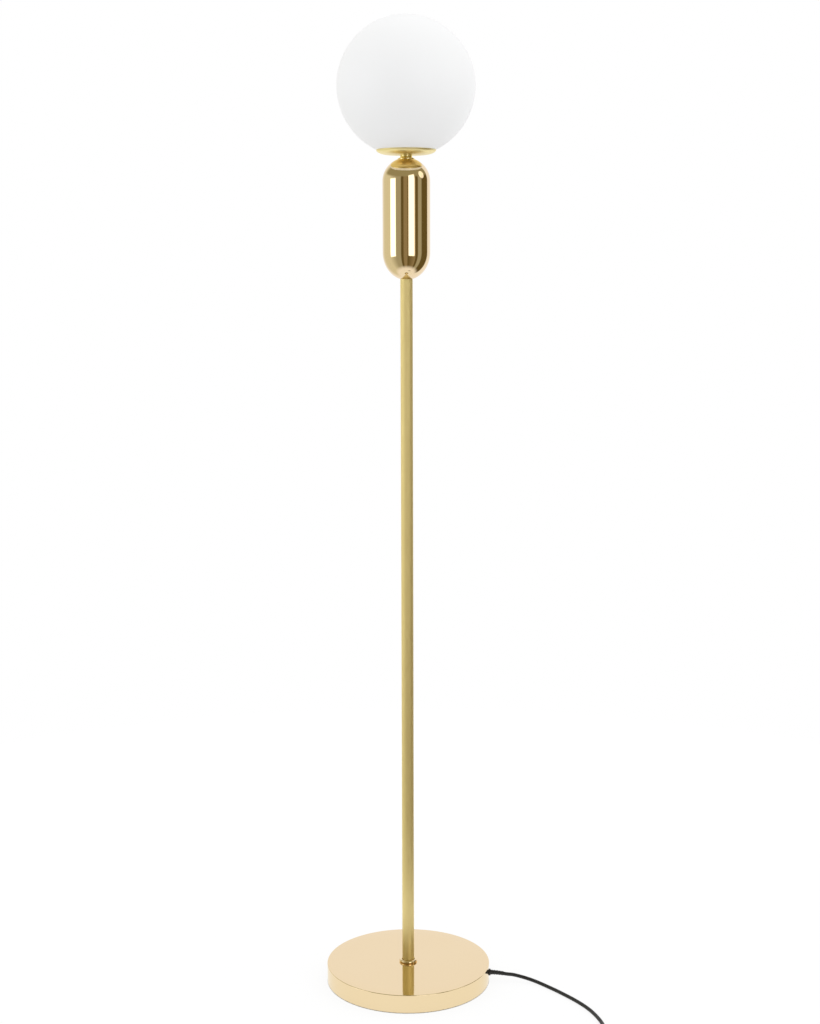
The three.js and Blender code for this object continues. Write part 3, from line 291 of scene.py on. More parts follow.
def sharpen(piece, degrees=32):
    """Edges that fold by more than the given angle stay sharp in a smooth mesh."""
    piece.data.set_sharp_from_angle(angle=math.radians(degrees))
    return piece


def joined(name, bodies, smooth=True, sharp=32):
    """One mesh of closed bodies, each turned outwards by the sign of its volume."""
    points, faces, start = [], [], 0
    for body, sides in bodies:
        tris = body[np.array([(q[0], q[k], q[k + 1]) for q in sides for k in range(1, len(q) - 1)])]
        volume = np.einsum("ij,ij->", tris[:, 0], np.cross(tris[:, 1], tris[:, 2]))
        way = -1 if volume < 0 else 1
        points.append(body)
        faces += [tuple(i + start for i in q[::way]) for q in sides]
        start += len(body)
    mesh = bpy.data.meshes.new(name)
    mesh.from_pydata(np.vstack(points).tolist(), [], faces)
    mesh.update()
    mesh.polygons.foreach_set("use_smooth", [smooth] * len(mesh.polygons))
    piece = in_scene(name, mesh)
    return sharpen(piece, sharp) if smooth else piece


def turned(name, profile, segments, place=Matrix()):
    return joined(name, [placed(turned_body(profile, segments), place)])


def swept(name, path, section):
    return joined(name, [swept_body(path, section)], sharp=40)


def cut_away(piece, tools):
    """Takes the tools out of a piece with exact booleans, applied to its mesh, and removes them."""
    for tool in tools:
        modifier = piece.modifiers.new("cut", "BOOLEAN")
        modifier.operation = "DIFFERENCE"
        modifier.object = tool
        modifier.solver = "EXACT"
    graph = bpy.context.evaluated_depsgraph_get()
    mesh = bpy.data.meshes.new_from_object(piece.evaluated_get(graph))
    piece.modifiers.clear()
    piece.data = mesh
    for tool in tools:
        bpy.data.objects.remove(tool, do_unlink=True)
    return sharpen(piece)


# Camera, from the outlines of globe, dish, capsule, stem and base in the photograph

camera_data = bpy.data.cameras.new("camera")
camera_data.sensor_width = 36
camera_data.lens = 57.55
camera_data.clip_start = 0.05
camera = in_scene("camera", camera_data)
camera_tilt, camera_roll = math.radians(90 - 8.05), math.radians(-0.135)
camera.matrix_world = shift(0.0043, -2.413, 1.071) @ spin(camera_tilt, "X") @ spin(camera_roll, "Z")
bpy.context.scene.camera = camera


# Cord: the points of the route, as the solids have them

def past_relief(extra):
    """A point on the cord's axis past the tip of its strain relief, which bends down on a circle."""
    out = RELIEF_START + RELIEF_BEND * math.sin(RELIEF_DIP) + extra * math.cos(RELIEF_DIP)
    drop = RELIEF_BEND * (1 - math.cos(RELIEF_DIP)) + extra * math.sin(RELIEF_DIP)
    return around(out, OUTLET_TURN, OUTLET_Z - drop)


outlet = past_relief(0)
# In tenths of a millimetre
lead_route = np.array([
    (1613, -120, 102), (1721, -139, 83), (1828, -172, 64), (1935, -224, 46), (2038, -306, 35),
    (2139, -411, 30), (2237, -528, 30), (2363, -691, 30), (2484, -859, 30), (2595, -1036, 30),
    (2690, -1226, 30), (2763, -1433, 30), (2802, -1590, 31), (2823, -1750, 39), (2830, -1912, 55),
    (2830, -1980, 62), (2830, -2050, 67),
]) / 10000
tail_route = np.array([
    (2830, -2920, 67), (2821, -2987, 64), (2795, -3049, 60), (2754, -3102, 55), (2701, -3143, 50),
    (2639, -3169, 46), (2572, -3178, 42), (2500, -3178, 40), (2430, -3178, 39), (2360, -3178, 39),
    (2295, -3178, 39),
]) / 10000


def coil_route():
    """Seven turns: the radius falls by one pitch a turn to the middle of the coil and grows back in the layer
    above; the height climbs one layer in the half turn round the reversal; then a straight lead sinks to the
    plug."""
    turn = np.arange(COIL_TURNS * 24 + 1) / 24
    radius = COIL_OUT - COIL_PITCH * np.minimum(turn, COIL_TURNS - turn)
    z = COIL_FLOOR + COIL_LAYER * smoothstep(turn, (COIL_TURNS - 0.5) / 2, (COIL_TURNS + 0.5) / 2)
    wound = around(radius, -np.pi / 2 - 2 * np.pi * turn, z) + (COIL_X, COIL_Y, 0)
    share = np.arange(1, 7) / 6
    high = COIL_FLOOR + COIL_LAYER
    lead = np.stack([COIL_X - (COIL_LEAD - CORD_D) * share, 0 * share + COIL_Y - COIL_OUT,
                     high + (PLUG_AXIS - high) * smoothstep(share, 0.45, 0.95)], -1)
    return np.vstack([[COIL_X + CORD_D, COIL_Y - COIL_OUT, COIL_FLOOR], wound, lead,
                      [COIL_X - COIL_LEAD, COIL_Y - COIL_OUT, PLUG_AXIS]])


switch_in = (SWITCH_X, SWITCH_Y + SPOUT_END + SEAT, SWITCH_LEVEL)
switch_out = (SWITCH_X, SWITCH_Y - SPOUT_END - SEAT, SWITCH_LEVEL)
lead_path = through([past_relief(-CORD_IN_RELIEF), past_relief(LEAD_STRAIGHT), *lead_route, switch_in], 6)
coil_points = coil_route()
tail_path = through([switch_out, *tail_route, coil_points[0] + (SEAT, 0, 0)], 6)
wound_path = np.vstack([tail_path, through(coil_points, 2)[1:]])
cord_lead = swept("flex_lead", lead_path, circle(CORD_D / 2, 20))


# Foot switch, along the cord: its own X axis runs towards the outlet side

SWITCH_PLACE = shift(SWITCH_X, SWITCH_Y, SEAT) @ spin(-math.pi / 2, "Z")
BUTTON_PLACE = shift(SWITCH_X, SWITCH_Y, 0)
LAID_ALONG_X = spin(math.pi / 2, "Y")


def switch_half(bottom, top, edge, at_top):
    """A straight-sided oval block, two half circles joined by straights. One rim is a quarter round and the
    other is broken by a small slope."""
    small = 0.0004
    inset, rise = quarter_round(edge, 6)
    if at_top:
        levels = [(bottom, small), (bottom + small, 0), *zip(top - edge + rise, inset)]
    else:
        levels = [*zip(bottom + edge - rise[::-1], inset[::-1]), (top - small, 0), (top, small)]
    height, inset = np.array(levels).T[..., None]
    half_turn = np.radians(np.linspace(-90, 90, 15))
    rings = around(SWITCH_WIDTH / 2 - inset, np.append(half_turn, half_turn + np.pi), height)
    rings[..., 0] += np.repeat((1, -1), 15) * (SWITCH_LENGTH - SWITCH_WIDTH) / 2
    return placed(ring_body(rings), SWITCH_PLACE)


def spout(side):
    """A cord sleeve with three raised rings, turned about the cord and laid along it on the given side."""
    outline = [(0, SPOUT_START), (0.0045, SPOUT_START)]
    for k in range(3):
        at, r = SPOUT_START + 0.0025 + 0.0019 * k, 0.0044 - 0.0003 * k
        outline += [(r, at), (r - 0.0005, at + 0.0004), (r - 0.0005, at + 0.0009), (r - 0.0002, at + 0.0013)]
    outline += [(0.0035, SPOUT_END - 0.0006), (0.0032, SPOUT_END), (0, SPOUT_END)]
    along_cord = shift(0, 0, SWITCH_LEVEL - SEAT) @ spin(side * math.pi / 2, "Y")
    return placed(turned_body(outline, 28), SWITCH_PLACE @ along_cord)


switch_tray = joined("switch_tray", [switch_half(0, 0.007, 0.0012, False), spout(1), spout(-1)])
switch_lid = joined("switch_lid", [switch_half(0.0073, 0.0173, 0.003, True)])
cut_away(switch_lid, [turned("bore", [(0, 0.013), (0.0106, 0.013), (0.0106, 0.02), (0, 0.02)], 64,
                             BUTTON_PLACE)])
foot_button = turned("push_button", [
    (0, BUTTON_TOP - 0.0018), (0.0082, BUTTON_TOP - 0.0018), (0.0082, 0.0141), (0.0116, 0.0141),
    (0.0116, 0.0153), (0.01, 0.0153), *arc((0.0088, BUTTON_TOP - 0.0012), 0.0012, 0, 90, 6),
    (0.008, BUTTON_TOP - 0.0001), (0.0076, BUTTON_TOP - 0.0005), (0.0045, BUTTON_TOP - 0.0006),
    (0, BUTTON_TOP - 0.0006),
], 64, BUTTON_PLACE)


def spring_line(per_turn=24):
    """The middle line of a compression spring, whose first and last turns lie nearly flat."""
    u = np.linspace(0, 1, SPRING_TURNS * per_turn + 1)
    climb = smoothstep(u, -0.05, 1.05)
    climb = (climb - climb[0]) / (climb[-1] - climb[0])
    low, high = SPRING_FOOT + SPRING_WIRE / 2, SPRING_HEAD - SPRING_WIRE / 2
    z = low + (high - low) * (0.35 * climb + 0.65 * u)
    return around(SPRING_R, 2 * np.pi * SPRING_TURNS * u, z) + (SWITCH_X, SWITCH_Y, 0)


spring = swept("button_spring", spring_line(), circle(SPRING_WIRE / 2, 10))


# Plug: its own X axis runs from the strain relief to the pins

PLUG_PLACE = shift(COIL_X - COIL_LEAD - SEAT, COIL_Y - COIL_OUT, PLUG_AXIS) @ spin(math.pi, "Z")


def rounded_slab(outline, half, edge):
    """A flat body: an outline at mid height, drawn in along a quarter round to each of its two faces."""
    along = np.roll(outline, -1, 0) - np.roll(outline, 1, 0)
    normal = unit(np.stack([along[:, 1], -along[:, 0]], -1))
    inset, rise = quarter_round(edge, 5)
    height, inset = np.append(-(half - edge + rise)[::-1], half - edge + rise), np.append(inset[::-1], inset)
    return ring_body([np.column_stack([outline - normal * i, np.full(len(outline), z)])
                      for z, i in zip(height, inset)])


def plug_relief():
    """A tapered sleeve with five grooves: r falls evenly from the body to the cord, less a groove at every
    pitch."""
    outline = [(0, 0.0003), (0.0033, 0.0003), (0.0036, 0.0008)]
    for k in range(5):
        at, r = 0.0012 + 0.003 * k, 0.0036 + 0.00042 * (k + 0.5)
        outline += [(r, at + 0.0002), (r + 0.0002, at + 0.0015), (r + 0.0001, at + 0.0018),
                    (r - 0.0007, at + 0.002), (r - 0.0006, at + 0.0028)]
    outline += [(0.0058, 0.0165), (0.0058, 0.02), (0, 0.02)]
    return placed(turned_body(outline, 32), PLUG_PLACE @ LAID_ALONG_X)


def grip_rib(x, z, half_width=0.0095, thick=0.0006):
    """A low rounded bar across the plug's face, for the fingers."""
    share = np.linspace(-1, 1, 13)
    path = np.stack([0 * share + x, half_width * share, 0 * share + z], -1)
    ends = np.sqrt(np.clip(1 - share ** 8, 0.02, 1))
    return placed(swept_body(path, circle(thick, 8), ends), PLUG_PLACE)


def plug_pin(name, side):
    """A round pin: an insulated sleeve at its root and a bare tip with a rounded end."""
    bare = PIN_R - 0.00012
    outline = [(0, 0.0443), (PIN_R, 0.0443), (PIN_R, 0.059), (bare, 0.0591)]
    outline += arc((0, 0.0673), (bare, 0.0017), 0, 90, 6)[:-1] + [(0, 0.069)]
    return turned(name, outline, 24, PLUG_PLACE @ shift(0, side * PIN_Y, 0) @ LAID_ALONG_X)


plug_outline = eased([(0.016, -0.0075), (0.0313, -0.0175), (0.05, -0.0175),
                      (0.05, 0.0175), (0.0313, 0.0175), (0.016, 0.0075)], 0.0035, 6)
plug_shell = joined("plug_shell", [
    placed(rounded_slab(plug_outline, 0.00685, 0.002), PLUG_PLACE), plug_relief(),
    *(grip_rib(0.030 + 0.0024 * k, face * 0.0064) for k in range(5) for face in (-1, 1))])
pin_a, pin_b = plug_pin("plug_contact_a", 1), plug_pin("plug_contact_b", -1)


# Tie: a flat wire strap round the bundle, with twisted ends

def strap(half_thick=0.0003, half_wide=0.0025):
    """An eased rectangle round the bundle, in a plane across Y, which carries a flat section."""
    near, far = COIL_IN - CORD_D / 2 - SEAT - half_thick, COIL_OUT + CORD_D / 2 + SEAT + half_thick
    low, high = BUNDLE_LOW - half_thick, BUNDLE_HIGH + half_thick
    loop = eased([(near, low), (far, low), (far, high), (near, high)], 0.003, 6)
    path = np.stack([-loop[:, 0], 0 * loop[:, 0], loop[:, 1]], -1) + (COIL_X, COIL_Y, 0)
    along = unit(np.roll(path, -1, 0) - np.roll(path, 1, 0))
    side = np.broadcast_to((0, 1.0, 0), path.shape)
    section = eased(rectangle(half_wide, half_thick), 0.0002, 2)
    return carried_body(path, section, side, np.cross(along, side), True)


def twist(start, strand=0.0008):
    """One end of the strap, wound round the other: a strand on a short upright helix, from a start angle."""
    u = np.linspace(0, 1, 33)
    line = around(strand, start + 2 * np.pi * 2.2 * u, BUNDLE_HIGH + 0.0005 + 0.0066 * u)
    return swept_body(line + (COIL_X - (COIL_IN + COIL_OUT) / 2, COIL_Y, 0), circle(strand, 10))


tie = joined("coil_strap", [strap(), twist(0), twist(np.pi)])


# Cord outlet in the wall of the base: flange, and a sleeve with grooves that dips with the cord

def outlet_sleeve():
    """Turned about the cord: a flange with an eased rim, then a taper from 3.6 to 3.1 mm with four narrow
    grooves and a bored tip that takes the cord. Past the flange its axis is bent down on a circle:
    x = start + (R + z) sin a, z = (R + z) cos a - R, with a = (x - start) / R."""
    end = RELIEF_START + RELIEF_LENGTH
    outline = [(0, 0.1035), (0.0033, 0.1035), (0.0042, 0.1208), (0.0047, 0.1209), (0.0047, 0.1231),
               (0.0042, 0.1232), (0.0042, 0.12533), (0.0048, 0.12533), (0.0052, 0.1257), (0.0052, 0.1267),
               (0.0048, 0.1272), (0.0038, 0.12728)]
    for share in np.linspace(0.1, 0.9, 17):
        groove = abs(share * 5 - round(share * 5)) < 0.13
        r = 0.0036 - 0.0005 * share - 0.0005 * groove
        outline += [(r, RELIEF_START + (share + step) * RELIEF_LENGTH) for step in (-0.022, 0.022)]
    outline += [(0.0031, end - 0.0005), (0.0029, end), (0.00278, end), (0.00278, end - 0.004),
                (0, end - 0.004)]
    points, faces = placed(turned_body(outline, 48), LAID_ALONG_X)
    turn = np.clip((points[:, 0] - RELIEF_START) / RELIEF_BEND, 0, None)
    past = points[:, 0] > RELIEF_START
    reach = RELIEF_BEND + points[:, 2]
    points[:, 0] = np.where(past, RELIEF_START + reach * np.sin(turn), points[:, 0])
    points[:, 2] = np.where(past, reach * np.cos(turn) - RELIEF_BEND, points[:, 2]) + OUTLET_Z
    return joined("outlet_sleeve", [(turned_about_z(points, OUTLET_TURN), faces)])


sleeve = outlet_sleeve()


# Base: the pressed cover, with a wall, a small round at its top edge and a flat top with the stem's hole

base = turned("base_shell", [
    (BASE_R - COVER_WALL, COVER_LIFT), (BASE_R - 0.0002, COVER_LIFT), (BASE_R, COVER_LIFT + 0.0003),
    *arc((BASE_R - 0.0009, BASE_TOP - 0.0009), 0.0009, 0, 90, 8),
    (0.10, BASE_TOP), (0.06, BASE_TOP), (0.02, BASE_TOP), (ROD_HOLE, BASE_TOP),
    (ROD_HOLE, BASE_TOP - COVER_WALL), (0.05, BASE_TOP - COVER_WALL),
    *arc((BASE_R - 0.0024, BASE_TOP - 0.0024), 0.0012, 90, 0, 4),
], 192)
pad = turned("foam_pad", [(0, 0), (PAD_R - 0.0004, 0), (PAD_R, 0.0004), (PAD_R, PAD_T - 0.0002),
                          (PAD_R - 0.0002, PAD_T), (0, PAD_T)], 128)


# Stem and the rounded ring at its foot

tube = turned("stem", [
    (TUBE_R - TUBE_WALL, BASE_TOP), (TUBE_R - 0.0001, BASE_TOP), (TUBE_R, BASE_TOP + 0.0001),
    *((TUBE_R, z) for z in np.linspace(0.08, 1.04, 13)),
    (TUBE_R, TUBE_TOP - 0.0001), (TUBE_R - 0.0001, TUBE_TOP), (TUBE_R - TUBE_WALL, TUBE_TOP)], 64)
bead = (COLLAR_R - TUBE_R - SEAT) / 2
collar = turned("foot_ring", [
    (TUBE_R + SEAT, BASE_TOP), (COLLAR_R - bead, BASE_TOP),
    *arc((COLLAR_R - bead, BASE_TOP + COLLAR_H / 2), (bead, COLLAR_H / 2), -78, 170, 30)], 96)


# Capsule and neck

def capsule_profile():
    """Lower half ellipse, straight wall, upper half ellipse, and the same with the wall taken off inside."""
    low = math.degrees(math.asin((TUBE_R + SEAT) / CAPSULE_R)) - 90
    high = 90 - math.degrees(math.asin(NECK_FLANGE_R / CAPSULE_R))
    start, end, wall = (0, CAPSULE_START), (0, CAPSULE_END), CAPSULE_WALL
    return [(ROD_HOLE, TUBE_TOP), *arc(start, (CAPSULE_R, CAPSULE_LOW), low, 0, 28),
            *arc(end, (CAPSULE_R, CAPSULE_HIGH), 0, high, 28),
            (ROD_HOLE, CAPSULE_TOP), (ROD_HOLE, CAPSULE_TOP - wall),
            *arc(end, (CAPSULE_R - wall, CAPSULE_HIGH - wall), high - 2, 0, 10),
            *arc(start, (CAPSULE_R - wall, CAPSULE_LOW - wall), 0, low + 2, 10), (ROD_HOLE, TUBE_TOP + wall)]


capsule = turned("capsule", capsule_profile(), 128)
neck_foot = CAPSULE_TOP + NECK_FLANGE_H
neck = turned("neck", [
    (ROD_HOLE, CAPSULE_TOP), (NECK_FLANGE_R - 0.0002, CAPSULE_TOP), (NECK_FLANGE_R, CAPSULE_TOP + 0.0002),
    (NECK_FLANGE_R, neck_foot - 0.0003), (NECK_FLANGE_R - 0.0003, neck_foot),
    *arc((NECK_R + NECK_ROUND, neck_foot + NECK_ROUND), NECK_ROUND, -90, -180, 12),
    (NECK_R, DISH_BOTTOM - 0.0002), (NECK_R - 0.0002, DISH_BOTTOM), (ROD_HOLE, DISH_BOTTOM)], 96)


# Dish, cup and clips. The dish's slope is a quarter of an ellipse, outside and inside

dish_reach = DISH_R - DISH_FLAT
dish = turned("dish", [
    (ROD_HOLE, DISH_BOTTOM), (DISH_HUB, DISH_BOTTOM),
    *arc((DISH_FLAT, DISH_RIM), (dish_reach, DISH_DEPTH), -90, -6, 20),
    (DISH_R, DISH_RIM - 0.0003), (DISH_R - 0.0004, DISH_RIM), (DISH_R - 0.0008, DISH_RIM),
    (DISH_R - DISH_WALL, DISH_RIM - 0.0003),
    *arc((DISH_FLAT, DISH_RIM), (dish_reach - DISH_WALL, DISH_DEPTH - DISH_WALL), -6, -90, 16),
    (DISH_HUB, DISH_BOTTOM + DISH_WALL), (ROD_HOLE, DISH_BOTTOM + DISH_WALL)], 144)
cup_round = (CUP_R - CUP_ROUND, CUP_BOTTOM + CUP_ROUND)
cup = turned("cup", [
    (ROD_HOLE, CUP_BOTTOM), *arc(cup_round, CUP_ROUND, -90, 0, 6),
    (CUP_R, CUP_TOP - 0.0003), (CUP_R - 0.0005, CUP_TOP), (CUP_R - CUP_WALL, CUP_TOP - 0.0003),
    *arc(cup_round, CUP_ROUND - CUP_WALL, 0, -90, 4), (ROD_HOLE, CUP_BOTTOM + CUP_WALL)], 96)


def leaf_clip(name, degrees):
    """A flat spring: a strip carried down a bowed line in the plane of its own radius, then turned round the
    axis."""
    back, reach = CUP_R + SEAT + CLIP_HALF, MOUTH_R - CLIP_PLAY - CLIP_HALF
    bow = reach - back
    line = through([(back, 0, CUP_TOP - 0.0002), (back, 0, CUP_TOP - 0.3 * CUP_H),
                    (back + bow / 2, 0, CUP_TOP - 0.48 * CUP_H), (reach, 0, CUP_TOP - 0.72 * CUP_H),
                    (back + bow / 3, 0, CUP_TOP - 0.86 * CUP_H)], 6)
    side = np.broadcast_to((0, 1.0, 0), line.shape)
    width = 0.0035 * np.minimum(1, 0.75 + 0.25 * np.linspace(0, 4, len(line)))
    section = eased(rectangle(1, CLIP_HALF), 0.00015, 2)
    across = np.cross(unit(np.gradient(line, axis=0)), side)
    points, faces = carried_body(line, section, side * width[:, None], across)
    return joined(name, [(turned_about_z(points, math.radians(degrees)), faces)])


clips = [leaf_clip(f"leaf_clip_{k + 1}", 30 + 120 * k) for k in range(3)]


# Globe

def globe_profile():
    """Two ellipses from the top down to the mouth, inside and outside, and an eased lip between them."""
    outer_low = math.degrees(math.asin(MOUTH_R / GLOBE_R)) - 90
    inner_low = math.degrees(math.asin(MOUTH_R / (GLOBE_R - GLOBE_WALL))) - 90
    inner = arc((0, GLOBE_Z), (GLOBE_R - GLOBE_WALL, GLOBE_HALF - GLOBE_WALL), 90, inner_low + 0.6, 48)
    outer = arc((0, GLOBE_Z), (GLOBE_R, GLOBE_HALF), outer_low + 0.6, 90, 72)
    lip_high, lip_low = inner[-1][1] - 0.0004, outer[0][1] - 0.0002
    return [(0, inner[0][1]), *inner[1:], (MOUTH_R, lip_high), (MOUTH_R, lip_low + 0.0005),
            (MOUTH_R + 0.0005, lip_low), *outer[:-1], (0, outer[-1][1])]


globe = turned("opal_globe", globe_profile(), 160)


# Lampholder and bulb

CAP_BOTTOM = CUP_BOTTOM + CUP_WALL + SEAT + HEAD_NUT_H + SEAT
CAP_R, CAP_FLAT, CAP_WALL = 0.018, 0.01, 0.0022
CAP_ROUND = CAP_R - CAP_FLAT
CAP_WAIST = CAP_BOTTOM + CAP_ROUND
CAP_SHOULDER = CAP_BOTTOM + 0.013
SPIGOT_R = 0.0166
SPIGOT_TOP = CAP_SHOULDER + 0.006
SKIRT_BOTTOM = CAP_SHOULDER + SEAT
SKIRT_TOP = SKIRT_BOTTOM + 0.0407
INSULATOR_TOP = SPIGOT_TOP + SEAT + 0.0057
SHELL_BOTTOM = INSULATOR_TOP + SEAT
SHELL_TOP = SHELL_BOTTOM + 0.0247
SHELL_FLOOR = 0.0007
BULB_TIP = INSULATOR_TOP + SEAT + 0.0022 + 0.0005 + SEAT
BULB_R, BULB_H = 0.03, 0.108
BULB_CAP_BOTTOM = BULB_TIP + 0.0012 + 0.0036 + SEAT
BULB_CAP_TOP = BULB_CAP_BOTTOM + 0.0206
BODY_BOTTOM = BULB_CAP_TOP + SEAT
BODY_TOP = BODY_BOTTOM + 0.032
DOME_BOTTOM = BODY_TOP + SEAT
DOME_H = BULB_TIP + BULB_H - BODY_TOP - SEAT


def ribbed_body(profile, ribs, low, high):
    """A turned body whose outer wall between two heights is pressed in between upright ribs: r falls by the
    depth times a smooth step of the cosine of ribs times the angle."""
    points, faces = turned_body(profile, 8 * ribs)
    x, y, z = points.T
    t = np.arctan2(y, x)
    inside = (z > low) & (z < high) & (np.hypot(x, y) > 0.0165)
    cut = 0.0004 * smoothstep(-np.cos(ribs * t), -0.2, 0.5) * inside
    return points - around(cut, t, 0), faces


holder_cap = joined("holder_dome", [ribbed_body([
    (ROD_HOLE, CAP_BOTTOM), *arc((CAP_FLAT, CAP_WAIST), CAP_ROUND, -90, 0, 12),
    *((CAP_R, z) for z in np.linspace(CAP_WAIST + 0.0006, CAP_SHOULDER - 0.0008, 3)),
    (CAP_R, CAP_SHOULDER - 0.0003), (CAP_R - 0.0003, CAP_SHOULDER), (SPIGOT_R, CAP_SHOULDER),
    (SPIGOT_R, SPIGOT_TOP - 0.0003), (SPIGOT_R - 0.0003, SPIGOT_TOP), (0.0148, SPIGOT_TOP),
    *arc((CAP_FLAT, CAP_WAIST), CAP_ROUND - CAP_WALL, 0, -90, 6), (ROD_HOLE, CAP_BOTTOM + CAP_WALL),
], 24, CAP_WAIST + 0.0003, CAP_SHOULDER - 0.0005)])
holder_skirt = joined("holder_sleeve", [ribbed_body([
    (0.0169, SKIRT_BOTTOM), (0.0189, SKIRT_BOTTOM), (0.0192, SKIRT_BOTTOM + 0.0003),
    *((0.0192 + 0.0003 * u, SKIRT_BOTTOM + 0.003 + 0.033 * u) for u in np.linspace(0, 1, 9)),
    (0.0195, SKIRT_TOP - 0.003), *arc((0.0195, SKIRT_TOP - 0.0015), (0.0012, 0.0015), -75, 75, 8),
    (0.0193, SKIRT_TOP), (0.015, SKIRT_TOP), (0.0147, SKIRT_TOP - 0.0003),
    (0.0147, SKIRT_TOP - 0.0023), (0.0169, SKIRT_TOP - 0.0023),
], 36, SKIRT_BOTTOM + 0.0032, SKIRT_TOP - 0.0045)])


def thread_wave(z, t):
    """The round wave of the lamp thread, 0 to 1: it climbs one pitch in a full turn."""
    return 0.5 + 0.5 * np.cos(2 * np.pi * z / SCREW_PITCH - t)


def socket_thread(sides=64, rows=56):
    """The screw shell: a thin wall whose bore and outside both follow the wave of the thread."""
    t = full_turn(sides)

    def wall(radius, bottom):
        z = np.linspace(bottom, SHELL_TOP, rows)[:, None]
        fade = np.clip(np.minimum(z - SHELL_BOTTOM - 0.001, SHELL_TOP - z) / 0.002, 0, 1)
        return around(radius - 0.00035 * fade * thread_wave(z, t), t, z)

    floor = around(0.009, t, np.array([[SHELL_BOTTOM + SHELL_FLOOR], [SHELL_BOTTOM]]))
    rings = np.vstack([wall(0.0144, SHELL_BOTTOM), wall(0.0137, SHELL_BOTTOM + SHELL_FLOOR)[::-1], floor])
    return joined("thread_shell", [ring_body(rings, True)])


def bulb_screw(sides=72, rows=84):
    """The bulb's cap: a rolled foot, then a thread with a rounded crest, then a plain collar."""
    z, t = np.linspace(BULB_CAP_BOTTOM, BULB_CAP_TOP, rows)[:, None], full_turn(sides)
    up = z - BULB_CAP_BOTTOM
    foot = np.clip(up / 0.0016, 0, 1)
    base = 0.0131 - 0.0016 * (1 - np.sqrt(np.clip(1 - (1 - foot) ** 2, 0, 1)))
    fade = np.clip((up - 0.001) / 0.003, 0, 1) * np.clip((BULB_CAP_TOP - 0.0035 - z) / 0.002, 0, 1)
    return joined("bulb_screw", [ring_body(around(base - 0.0009 * fade * thread_wave(z, t), t, z))])


thread_shell = socket_thread()
dome_inner = arc((0, DOME_BOTTOM), (0.0285, DOME_H - 0.0015), 90, 0, 24)
dome_outer = arc((0, DOME_BOTTOM + 0.0002), (BULB_R, DOME_H - 0.0002), 0, 90, 32)
bulb_dome = turned("bulb_cover", [
    (0, dome_inner[0][1]), *dome_inner[1:], (0.0286, DOME_BOTTOM), (0.0298, DOME_BOTTOM), *dome_outer[:-1],
    (0, dome_outer[-1][1])], 96)
bulb_body = turned("bulb_housing", [
    (0, BODY_BOTTOM), (0.0139, BODY_BOTTOM), (0.0142, BODY_BOTTOM + 0.0003),
    *arc((0.0142, BODY_TOP - 0.002), (0.0158, 0.030), -84, 0, 24),
    (BULB_R, BODY_TOP - 0.0004), (BULB_R - 0.0003, BODY_TOP), (0.0223, BODY_TOP),
    (0.0223, BODY_TOP - 0.0019), (0, BODY_TOP - 0.0019)], 96)
screw = bulb_screw()


# Nuts and screws

def hex_nut(name, bottom, height, sides=72):
    """A six-sided nut: half flats over cos of the angle to the nearest flat, with both rims cut back to the
    circle of the flats at 30 degrees, and a bore."""
    t, half = full_turn(sides), NUT_FLATS / 2
    six = half / np.cos((t + np.pi / 6) % (np.pi / 3) - np.pi / 6)
    drop = (six - half) * math.tan(math.radians(30)) + 0.0001
    rim, top = np.minimum(six, half * 0.995), bottom + height
    ease = 0.0005
    rings = [(rim, bottom), (six, bottom + drop), (six, top - drop), (rim, top), (ROD_HOLE + ease, top),
             (ROD_HOLE, top - ease), (ROD_HOLE, bottom + ease), (ROD_HOLE + ease, bottom)]
    return joined(name, [ring_body([around(r, t + np.pi / 6, z) for r, z in rings], True)], sharp=25)


def cross_head_screw(name, x, y, outline, sides, reach, width, depth):
    """A turned screw, head down, with a tapered cross cut into it: two four-sided wedges, each narrower at
    its bottom."""
    piece = turned(name, outline, sides, shift(x, y, 0))
    wedge = ring_body([[(a, b, -depth) for a, b in rectangle(reach * 0.55, width * 0.6)],
                       [(a, b, 0.0002) for a, b in rectangle(reach, width)]])
    place = shift(x, y, outline[0][1]) @ spin(math.pi, "X")
    return cut_away(piece, [joined("wedge", [placed(wedge, place @ spin(turn, "Z"))], False)
                            for turn in (0, math.pi / 2)])


dish_nut = hex_nut("head_nut", CUP_BOTTOM + CUP_WALL + SEAT, HEAD_NUT_H)
rod_nut = hex_nut("foot_nut", 0.0114, FOOT_NUT_H)
PLATE_SCREW = [(0, 0.0018), (0.0034, 0.0018), (0.0036, 0.002), (0.0017, 0.0033), (0.0016, 0.0034),
               (0.0016, 0.0108), (0.0006, 0.0115), (0, 0.0115)]
SWITCH_SCREW = [(0, 0.0003), (0.0026, 0.0003), (0.0028, 0.0006), (0.0027, 0.0012), (0.0013, 0.0012),
                (0.0013, 0.0118), (0.0006, 0.0123), (0, 0.0123)]
plate_screws = [
    cross_head_screw(f"plate_fixing_{k + 1}", 0.075 * math.cos(a), 0.075 * math.sin(a), PLATE_SCREW, 32,
                     0.002, 0.00045, 0.0012)
    for k, a in enumerate(math.pi / 2 + full_turn(3))]
switch_screws = [
    cross_head_screw(f"switch_fixing_{k + 1}", SWITCH_X, SWITCH_Y + 0.021 * side, SWITCH_SCREW, 28,
                     0.0015, 0.00035, 0.0008)
    for k, side in enumerate((-1, 1))]


# Shader nodes

def node_link(tree, kind, *sources, output=0, **values):
    """A node whose inputs are linked or set in order; returns one of its outputs."""
    node = tree.nodes.new(kind)
    for key, value in values.items():
        setattr(node, key, value)
    for socket, source in zip(node.inputs, sources):
        if isinstance(source, bpy.types.NodeSocket):
            tree.links.new(source, socket)
        elif source is not None:
            socket.default_value = source
    return node.outputs[output]


def calc(tree, operation, *sources):
    return node_link(tree, "ShaderNodeMath", *sources, operation=operation)


